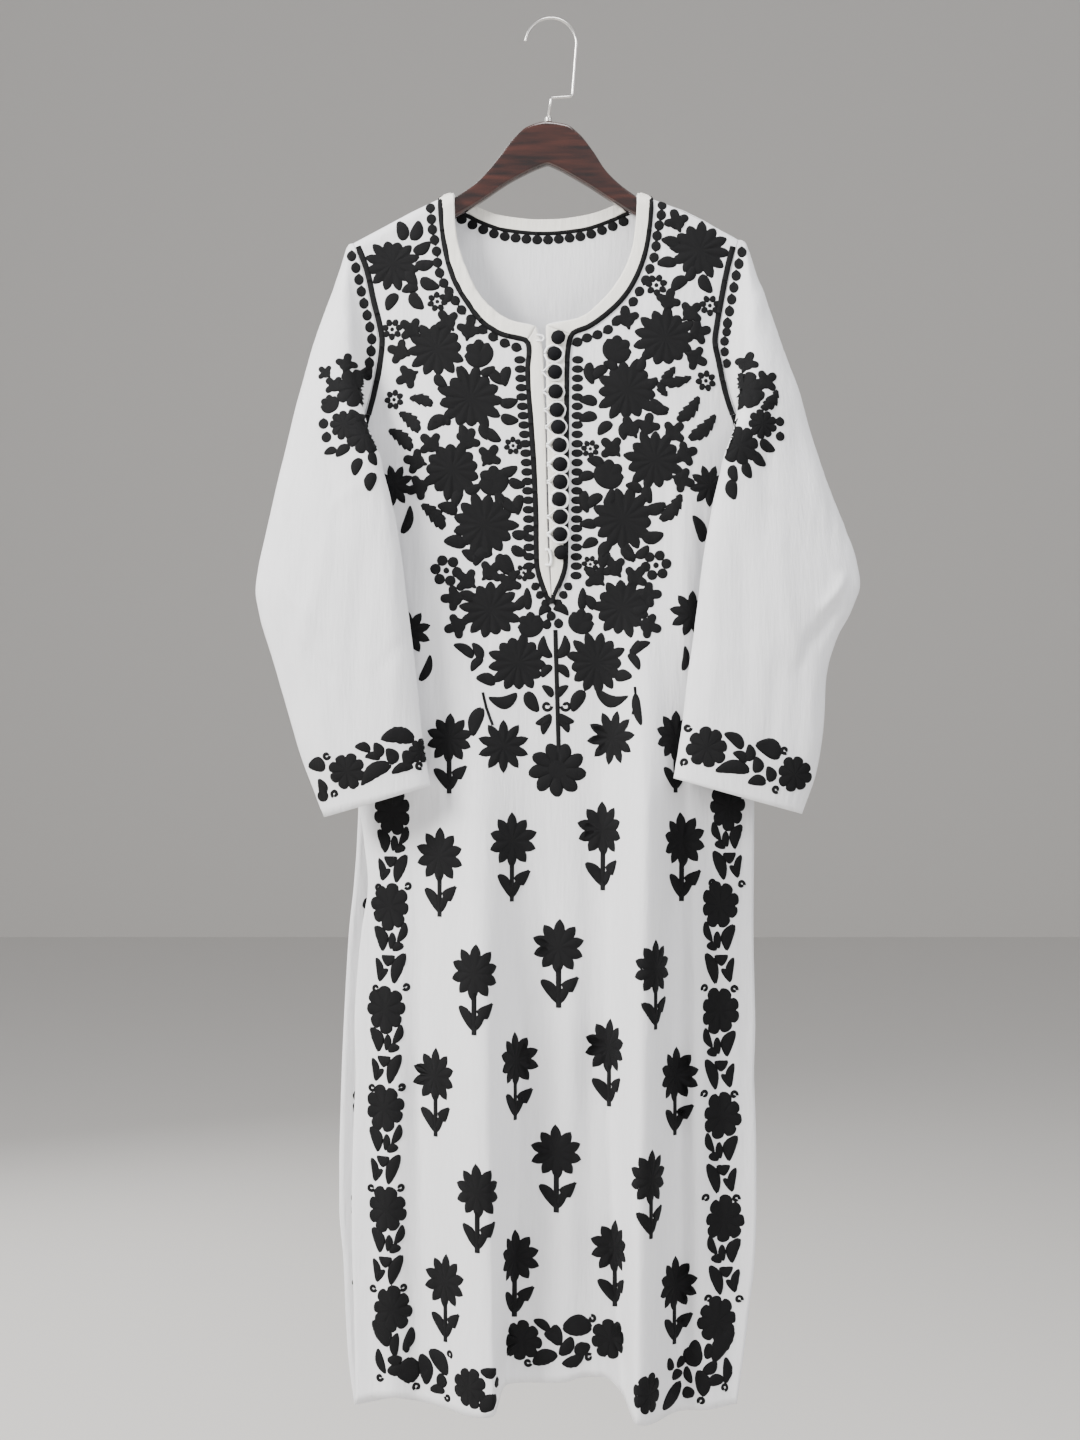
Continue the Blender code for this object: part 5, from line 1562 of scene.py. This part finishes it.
# a "big" or "toothed" leaf is its base, tip and width. The others start with x and down; then a flower
# and a dot have their size, a curl its radius and turn, a bud its radius and turn, and a leaf and a
# sprig their turn and size.
CUFF_MOTIFS = {
    "left": (
        ("flower", -189.5, 718.7, 15.8), ("big", (-208.8, 715), (-228, 714), 13),
        ("big", (-213, 743), (-217, 725), 9),
        ("dot", -213, 742, 10), ("curl", -208.8, 704.4, 3.2, 0), ("curl", -201.4, 739.8, 3.2, 2),
        ("big", (-166.5, 699.8), (-183, 695.7), 8.6), ("big", (-159.7, 707.2), (-163.8, 691.1), 10),
        ("big", (-157.4, 706.7), (-173.7, 705.3), 7.5), ("big", (-125, 689.3), (-159.7, 688.8), 15),
        ("big", (-145.4, 713), (-152.8, 696.6), 11.5), ("big", (-147, 711.4), (-177.1, 732.4), 13.5),
        ("big", (-131, 714), (-136.7, 698.5), 13), ("big", (-127, 714), (-149.1, 721.4), 8.5),
        ("curl", -122.5, 713.4, 3.2, 1), ("flower", -121.5, 700, 10.5),
    ),
    "right": (
        ("flower", 144.2, 696.6, 17.6), ("big", (178.2, 698.5), (158.9, 682.8), 10.5),
        ("big", (181.9, 710.4), (183.3, 692.5), 9.5), ("big", (181.9, 710.4), (167.2, 700.8), 8.5),
        ("big", (185.6, 718.2), (150.2, 718.7), 12.5), ("big", (190.2, 721.3), (189.2, 704), 10.5),
        ("big", (213.9, 706), (187.9, 693), 16.5), ("big", (203.9, 729.6), (200.3, 713.2), 10),
        ("big", (200.3, 728.8), (181, 729.3), 10), ("flower", 226.5, 721.4, 15.5),
        ("curl", 126.8, 678.4, 3.2, 0), ("curl", 123.7, 710.4, 3.2, 2), ("curl", 216.5, 699.2, 3.2, 1),
        ("curl", 208.5, 735.4, 3.2, 1),
    ),
}
PATCH_MOTIFS = {
    "left": (
        ("sprig", -193, 337, 0.2, 8.5), ("flower", -183, 360, 18), ("sprig", -203, 358, -0.8, 8),
        ("bud", -207, 376, 8, -0.6), ("flower", -193, 396, 13), ("dot", -213, 394, 9), ("dot", -210, 407, 9),
        ("flower", -174, 406, 16.5), ("leaf", -178, 388, 1.2, 14), ("leaf", -194, 421, -2.2, 15),
        ("leaf", -180, 436, -2.8, 16),
        ("leaf", -167, 450, -2.9, 17), ("sprig", -212, 345, -0.8, 6.5), ("leaf", -206, 421, -1.8, 12),
        ("leaf", -176, 340, 0.6, 15), ("leaf", -165, 428, 2.8, 13), ("leaf", -183, 385, 2.0, 12),
    ),
    "right": (
        ("dot", 167, 302, 8), ("dot", 165, 311, 8), ("dot", 165, 321, 8), ("dot", 167, 332, 8),
        ("flower", 181, 362, 18), ("sprig", 184, 336, 0.4, 9), ("sprig", 201, 354, 0.9, 9.5),
        ("toothed", (195, 382), (213, 360), 12), ("flower", 197, 395, 13), ("dot", 214, 392, 8),
        ("dot", 214, 406, 8), ("flower", 175, 416, 17), ("leaf", 202, 415, 2.2, 16),
        ("leaf", 194, 428, 2.4, 16),
        ("leaf", 183, 439, 2.8, 15), ("leaf", 170, 442, 2.9, 15), ("leaf", 169, 457, 3.0, 18),
        ("leaf", 190, 372, 0.8, 14), ("leaf", 166, 392, -1.0, 14), ("leaf", 206, 372, 1.6, 11),
    ),
}


def add_motif(work, kind, back, *rest):
    """One motif of a sleeve, on its front (back 0) or its back (back 1)."""
    if kind in ("big", "toothed"):
        base, tip, width = rest
        teeth = CUFF_TEETH if kind == "toothed" else 0
        work.leaf_between((*base, back), tip, width * 1.1, 0.12, teeth=teeth, depth=0.4)
        return
    x, down, *how = rest
    at = (x, down, back)
    if kind == "flower":
        round_flower(work, at, how[0] * 1.12, x * 0.1, 8 if how[0] > 14 else 9)
    elif kind == "leaf":
        work.leaf_towards(at, how[0], how[1] * 1.2)
    elif kind == "sprig":
        work.sprig(at, how[1] * 1.35, how[0])
    elif kind == "bud":
        work.bud(at, how[0] * 1.12, how[1])
    elif kind == "dot":
        work.dot(at, how[0] * 1.15, how[0] * 1.15)
    elif kind == "curl":
        work.curl(at, how[0], how[1])


def sleeve_needlework(side):
    """The cuff's motifs on both faces, the patch by the shoulder and the dots along the armhole."""
    work = Needlework()
    for motif in CUFF_MOTIFS[side] + PATCH_MOTIFS[side]:
        add_motif(work, motif[0], 0, *motif[1:])
    outward = -1 if side == "left" else 1
    for motif in CUFF_MOTIFS[side]:
        add_motif(work, motif[0], 1, *motif[1:])
    # dots beside the armhole's seam, at the front and the back
    start = armhole_downs(side)[0] + 14
    for back, edges in ((0, FRONT_EDGE), (1, BACK_EDGE)):
        end = ARMHOLE_DOTS_END["back" if back else side]
        for down in np.arange(start, end, ARMHOLE_DOTS_PITCH):
            x = float(read(edges, "down", side, down)) + outward * SLEEVE_DOT_AWAY
            work.dot((x, float(down), back), *SLEEVE_DOT, 0.0, 0.2)
    return work


# the pieces
SCENE_WALL = 1.0
FACING_WALL = 0.3
FACING_GAP = 0.35
# more points on the hanger's bar than in the solids: close sections near its ends, even ones between
BAR_BETWEEN_ENDS = (-176, 168)
BAR_END_SECTIONS = 12
BAR_SECTIONS = 173
BAR_CORNER = 3.6
BAR_CORNER_POINTS = 7


def face_grid(rows, face_y, down_steps, across_steps):
    """The outer face of a panel from its rows of (x, down)."""
    flat = finer(np.array(rows), down_steps, across_steps)
    x, down = flat[..., 0], flat[..., 1]
    return np.stack([x, face_y(x, down), down], -1)


def strip(rows, face_y, side, lift, down_steps, across_steps, puff, seed):
    """A band on a panel, puffed between its two edges, with small puckers from its sewing."""
    flat = finer(np.array(rows), down_steps, across_steps)
    x, down = flat[..., 0], flat[..., 1]
    across = np.linspace(0, 1, flat.shape[1])[None, :]
    along = np.cumsum(np.linalg.norm(np.diff(flat, axis=0, prepend=flat[:1]), axis=-1), axis=0)
    round_top = np.sin(math.pi * np.clip(across, 0.04, 0.96)) ** 0.5
    waves = np.sin(along / 1.9 + 2 * np.sin(along / 13 + seed)) + 0.6 * np.sin(along / 3.7 + seed)
    puckers = 0.10 * waves * np.sin(math.pi * across) ** 0.4
    return off_face(x, down, face_y, side, lift + puff * round_top + puckers)


def add_bands(look):
    """The neck's bindings, the placket's strips and the back neck's facing."""
    necks = len(FRONT_NECK["left_in"])
    lift = GAP + BAND_WALL
    made = {}
    for side in ("left", "right"):
        rows = front_rows(side)
        neck = strip([row[:2] for row in rows[:necks]], front_cloth, -1, lift, 9, 8, 0.5, 1)
        made["neck_band_" + side] = add_shell("neck_binding_" + side, [neck], BAND_WALL, look)
        edges = [list(row[:2]) for row in rows[necks - 1: SLIT_ROWS + 1]]
        edges[0] = [(x, down + GAP) for x, down in edges[0]]
        edges[-1] = [(x - GAP if side == "left" else x + GAP, down) for x, down in edges[-1]]
        placket = strip(edges, front_cloth, -1, lift, 12, 8, 0.35, 2)
        made["placket_" + side] = add_shell("placket_cloth_" + side, [placket], BAND_WALL, look)
    first = BACK_SHOULDER_CELLS
    rows = [row[first: first + BACK_NECK_CELLS + 1] for row in back_rows()[:4]]
    back = strip(rows, back_cloth, 1, lift, 4, 8, 0.3, 3)
    made["neck_band_back"] = add_shell("neck_binding_back", [back], BAND_WALL, look, (0, 1, 0))
    for node, piece in made.items():
        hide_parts(node)
    facing = strip(rows, back_cloth, 1, -SCENE_WALL - FACING_GAP, 4, 8, -0.25, 4)
    add_shell("neck_facing_back", [facing], FACING_WALL, look)


def tube(path, radius, sides=10):
    """Points and faces of a round cord along a path of (x, y, down)."""
    path = np.asarray(path, float)
    along = np.gradient(path, axis=0)
    along /= np.linalg.norm(along, axis=1, keepdims=True) + 1e-12
    across = np.cross(along[0], (0.31, 0.83, 0.47))
    points = []
    for place, way in zip(path, along):
        across = across - way * np.dot(across, way)
        across /= np.linalg.norm(across)
        up = np.cross(way, across)
        for k in range(sides):
            a = 2 * math.pi * k / sides
            points.append(place + radius * (math.cos(a) * across + math.sin(a) * up))
    return np.array(points), grid_faces(len(path), sides, True) + caps(len(path), sides)


def joined(parts):
    """The points and faces of many forms as one."""
    points = []
    faces = []
    for part_points, part_faces in parts:
        start = len(points)
        points += list(part_points)
        faces += [tuple(start + i for i in face) for face in part_faces]
    return np.array(points), faces


SCENE_CORD_LIFT = 1.0  # a loop round its button lies this much higher here than in the solids
# a button from its top to its foot: radius and height
BUTTON_PROFILE = (
    (0.0, 7.0), (1.5, 6.9), (3.0, 6.55), (4.3, 6.0), (5.4, 5.3), (6.2, 4.5), (6.75, 3.6), (6.95, 2.8),
    (6.7, 2.1), (6.1, 1.75), (5.2, 1.6), (5.2, 0.3), (0.0, 0.3),
)
BUTTON_SIDES = 36
BUTTON_GATHERS = 9
BUTTON_NUMBERS = range(1, len(BUTTONS["x"]) + 1)


def add_buttons(look):
    """The cloth buttons, gathered under their edges, each square to the cloth that it is on."""
    parts = []
    around = BUTTON_SIDES
    for i, (x, down) in enumerate(zip(BUTTONS["x"], BUTTONS["down"])):
        lift = GAP + BAND_WALL + BUTTON_LIFT
        base = off_face(np.array(x), np.array(down), front_cloth, -1, lift)
        top = off_face(np.array(x), np.array(down), front_cloth, -1, lift + 1)
        out = top - base
        right = np.cross(out, (0, 0, 1.0))
        right /= np.linalg.norm(right)
        fall = np.cross(out, right)
        points = []
        for radius, height in BUTTON_PROFILE:
            for k in range(around):
                a = 2 * math.pi * k / around
                gathers = 0.10 * math.sin(BUTTON_GATHERS * a + i) * smooth((radius - 4.5) / 2)
                away = math.cos(a) * right + math.sin(a) * fall
                points.append(base + (radius + gathers) * away + height * out)
        faces = grid_faces(len(BUTTON_PROFILE), around, True)
        parts.append((np.array(points), faces))
    points, faces = joined(parts)
    made = add_mesh("cloth_buttons", points, faces, look)
    merge_points(made, 1e-7, outward=True)
    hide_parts(*[f"button_{number:02d}" for number in BUTTON_NUMBERS])


# the loops that lie as a full ring round their button, with how far each is turned
RING_LOOPS = {2: 0.0, 10: 0.5}
# the loops that are thicker than the others, as times the cord's radius in the solids
CORD_GIRTHS = {2: 1.9, 7: 1.8, 8: 2.1, 10: 2.3, 12: 1.8, 13: 1.9}
CORD_GIRTH = 1.25


def loop_path(number, x, down):
    """A loop as places (x, down): hanging free, as a full ring, or from the strip and back to it."""
    if number in FREE_LOOPS:
        reach, drop = FREE_LOOPS[number]
        edge_x = float(read(PLACKET, "down", "left_in", down))
        # right of the strip's edge, as a share of the reach; half of the foot; a share of the drop
        bends = ((0.5, -0.8, 0.2), (0.8, 0.0, 0.6), (0.55, 0.8, 1.0))
        path = [(edge_x - 3, down - LOOP_FOOT), (edge_x, down - LOOP_FOOT)]
        path += [(edge_x + reach * a, down + LOOP_FOOT * b + drop * c) for a, b, c in bends]
        return path + [(edge_x, down + LOOP_FOOT + drop), (edge_x - 3, down + LOOP_FOOT + drop)]
    ring = number in RING_LOOPS
    half = math.radians(176 if ring else 138)
    radius = LOOP_RADIUS + (1.7 if ring else 1.4)
    lean = RING_LOOPS.get(number, 0.15 * math.sin(number * 2.1))
    path = []
    for k in range(LOOP_POINTS):
        angle = half * (1 - 2 * k / (LOOP_POINTS - 1)) + lean
        path.append((x + radius * math.cos(angle), down + radius * math.sin(angle)))
    if ring:
        return path
    start = [(x - 12.5, down + 0.9), (x - 10.5, down + 1.2)]
    return start + path + [(x - 10.5, down - 1.2), (x - 12.5, down - 0.9)]


def add_loops(look):
    """The cord loops, as one piece."""
    parts = []
    for i, (x, down) in enumerate(zip(BUTTONS["x"], BUTTONS["down"])):
        number = i + 1
        above = LOOP_CORD_RADIUS + GAP if number in FREE_LOOPS else LOOP_LIFT + SCENE_CORD_LIFT
        lift = GAP + BAND_WALL + above
        flat = eased(np.array(loop_path(number, x, down)), 5)
        path = off_face(flat[:, 0], flat[:, 1], front_cloth, -1, np.full(len(flat), lift))
        parts.append(tube(path, LOOP_CORD_RADIUS * CORD_GIRTHS.get(number, CORD_GIRTH), 8))
    points, faces = joined(parts)
    made = add_mesh("cord_loops", points, faces, look)
    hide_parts(*[f"loop_{number:02d}" for number in BUTTON_NUMBERS])


def add_wood(look):
    """The bar with rounded edges, from close sections; its two ends have more of them."""
    start, end = BAR_BETWEEN_ENDS
    left = np.linspace(WOOD_LEFT_END, start, BAR_END_SECTIONS)[:-1]
    even = np.linspace(start, end, BAR_SECTIONS)[:-1]
    stations = np.concatenate([left, even, np.linspace(end, WOOD_RIGHT_END, BAR_END_SECTIONS)])
    rings = []
    for x in stations:
        section = np.array(wood_ring(x))
        top, bottom = section[:, 2].min(), section[:, 2].max()
        half = section[:, 1].max()
        middle, tall = (top + bottom) / 2, (bottom - top) / 2
        cut = min(BAR_CORNER, half * 0.75, tall * 0.6)
        ring = []
        for corner_y, corner_down, turn in ((1, 1, 0), (-1, 1, 90), (-1, -1, 180), (1, -1, 270)):
            for k in range(BAR_CORNER_POINTS):
                a = math.radians(turn + 90 * k / (BAR_CORNER_POINTS - 1))
                ring.append((x, corner_y * (half - cut) + cut * math.cos(a),
                             middle + corner_down * (tall - cut) + cut * math.sin(a)))
        rings.append(ring)
    sides = len(rings[0])
    faces = grid_faces(len(rings), sides, True) + caps(len(rings), sides)
    made = add_mesh("varnished_bar", [p for ring in rings for p in ring], faces, look)
    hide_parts("hanger_bar")


FERRULE_SIDES = 40


def add_metal(look):
    """The wire hook and the turned ferrule that it stands in."""
    bar_top = min(WOOD_TOP["down"])
    low = bar_top - GAP
    high = low - FERRULE_HEIGHT
    points, faces = tube(hook_path(high - GAP), HOOK_WIRE_RADIUS, 16)
    wire = add_mesh("wire_hook", points, faces, look)
    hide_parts("hanger_hook")
    profile = (
        (0.0, low), (3.1, low), (3.3, low - 0.2), (3.3, low - 1.2), (3.1, low - 1.5), (3.3, low - 1.8),
        (3.3, high + 0.5), (3.0, high + 0.1), (2.6, high), (0.0, high),
    )
    turns = angles_of(FERRULE_SIDES)
    points = [(STEM_X + r * math.cos(a), r * math.sin(a), down) for r, down in profile for a in turns]
    faces = grid_faces(len(profile), FERRULE_SIDES, True)
    collar = add_mesh("turned_ferrule", points, faces, look)
    merge_points(collar, 1e-7, outward=True)
    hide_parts("hanger_ferrule")


WOOD_STOPS = ((0.35, (0.010, 0.004, 0.003, 1)), (0.7, (0.050, 0.013, 0.008, 1)))


def wood_look():
    """Dark wood with its grain along the bar, under a clear varnish."""
    look, tree, shader = new_look("dark_varnished_wood", (0.055, 0.012, 0.008), 0.22)
    input_of(shader, Coat_Weight=0.8, Coat_Roughness=0.12)
    grain = grain_of(tree, (18, 160, 160), 6.0)
    ramp = tree.nodes.new("ShaderNodeValToRGB")
    for stop, (position, colour) in zip(ramp.color_ramp.elements, WOOD_STOPS):
        stop.position = position
        stop.color = colour
    tree.links.new(grain, ramp.inputs["Fac"])
    tree.links.new(ramp.outputs["Color"], shader.inputs["Base Color"])
    bump_of(tree, shader, grain, 0.08, 0.0004)
    return look


def metal_look():
    """Nickel with fine scratches."""
    look, tree, shader = new_look("brushed_nickel", (0.70, 0.68, 0.65), 0.28, 1.0)
    bump_of(tree, shader, grain_of(tree, (700, 700, 4000), 2.0), 0.12, 0.0001)
    return look


def button_look():
    """The buttons' black cloth with its weave."""
    look, tree, shader = new_look("black_button_cloth", (0.004, 0.004, 0.005), 0.8)
    input_of(shader, Specular_IOR_Level=0.12)
    bump_of(tree, shader, grain_of(tree, (2600, 2600, 2600), 2.0), 0.3, 0.0002)
    return look


def build():
    """Every piece; the solids that the pieces stand for are hidden."""
    cotton = cotton_look("soft_white_cotton", (0.90, 0.90, 0.915), 0.2, 0.7)
    # the bands' cloth: partly their own cream tone, partly painted shade that darkens them so that the white
    # loops stand out
    double = cotton_look("cream_cotton_with_painted_shade", (0.80, 0.775, 0.71), 0.0, 0.7)
    cord = cotton_look("white_cord", (0.99, 0.99, 0.98), 0.0, 0.2)
    thread = thread_look("black_thread", (0.004, 0.004, 0.0045), 0.75)

    halves = [face_grid(front_rows(side), front_cloth, 6, 6) for side in ("left", "right")]
    front = add_shell("front_cloth", halves, SCENE_WALL, cotton)
    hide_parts("front_panel")
    back = add_shell("back_cloth", [face_grid(back_rows(), back_cloth, 6, 4)], SCENE_WALL, cotton, (0, 1, 0))
    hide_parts("back_panel")

    front_flat = PanelCloth(front_y, front_cloth, -1)
    back_flat = PanelCloth(back_y, back_cloth, 1)
    add_needlework("front_embroidery", front_needlework(), front_flat, thread)
    add_needlework("back_embroidery", back_needlework(), back_flat, thread)
    inside = PanelCloth(back_y, back_cloth, 1, SCENE_WALL)
    add_needlework("inner_neck_embroidery", inner_needlework(), inside, thread)
    for side, sections in (("left", LEFT_SLEEVE), ("right", RIGHT_SLEEVE)):
        grid = sleeve_grid(side, sections)
        piece = add_shell("sleeve_cloth_" + side, [grid], SCENE_WALL, cotton, around=True)
        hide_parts("sleeve_" + side)
        add_needlework(f"sleeve_{side}_embroidery", sleeve_needlework(side), SleeveCloth(grid), thread)
    add_bands(double)
    add_buttons(button_look())
    add_loops(cord)
    add_wood(wood_look())
    add_metal(metal_look())


STAGE_SIZE = 40
BACKDROP_PLACE = (0, 9, 0)
FLOOR_PLACE = (0, 0, -1.75)
LIGHTS = (
    # name, place, what it is aimed at, size, power, colour
    ("key", (-2.5, -1.7, 0.8), (0, 0, -0.65), 1.2, 240, (1, 0.99, 0.97)),
    ("fill", (2.2, -2.3, -0.2), (0, 0, -0.7), 2.4, 56, (0.97, 0.98, 1)),
    ("top", (0.2, -0.7, 1.9), (0, 0, -0.4), 1.4, 60, (1, 1, 1)),
    ("behind", (-1.6, 2.6, 0.4), (0, 0, -0.7), 2.0, 60, (1, 1, 1)),
)
CAMERA_PLACE = (-0.0105, -2.15, -0.6711)
CAMERA_LENS = 37.405
SENSOR_HEIGHT = 24


def add_plane(name, place, rotation, look):
    bpy.ops.mesh.primitive_plane_add(size=STAGE_SIZE, location=place, rotation=rotation)
    plane = bpy.context.object
    plane.name = name
    plane.data.materials.append(look)
    return plane


def add_stage():
    """A pale floor and a backdrop far behind."""
    pale = new_look("pale_backdrop", (0.62, 0.60, 0.57), 0.9)[0]
    backdrop = add_plane("backdrop", BACKDROP_PLACE, (math.pi / 2, 0, 0), pale)
    floor = add_plane("floor", FLOOR_PLACE, (0, 0, 0), pale)


def add_light(name, place, aim, size, power, colour):
    data = bpy.data.lights.new(name, "AREA")
    data.energy = power
    data.size = size
    data.color = colour
    lamp = bpy.data.objects.new(name, data)
    lamp.location = place
    lamp.rotation_euler = (Vector(aim) - Vector(place)).to_track_quat("-Z", "Y").to_euler()
    bpy.context.scene.collection.objects.link(lamp)


def add_camera():
    """The camera, level and square to the front, with the photograph's framing."""
    data = bpy.data.cameras.new("camera")
    data.sensor_fit = "VERTICAL"
    data.sensor_height = SENSOR_HEIGHT
    data.lens = CAMERA_LENS
    camera = bpy.data.objects.new("camera", data)
    camera.location = CAMERA_PLACE
    camera.rotation_euler = (math.pi / 2, 0, 0)
    bpy.context.scene.collection.objects.link(camera)
    bpy.context.scene.camera = camera


def add_world():
    world = bpy.data.worlds.new("room")
    world.use_nodes = True
    input_of(world.node_tree.nodes["Background"], Color=(0.95, 0.96, 1, 1), Strength=0.62)
    bpy.context.scene.world = world


build()
add_stage()
for light in LIGHTS:
    add_light(*light)
add_world()
add_camera()
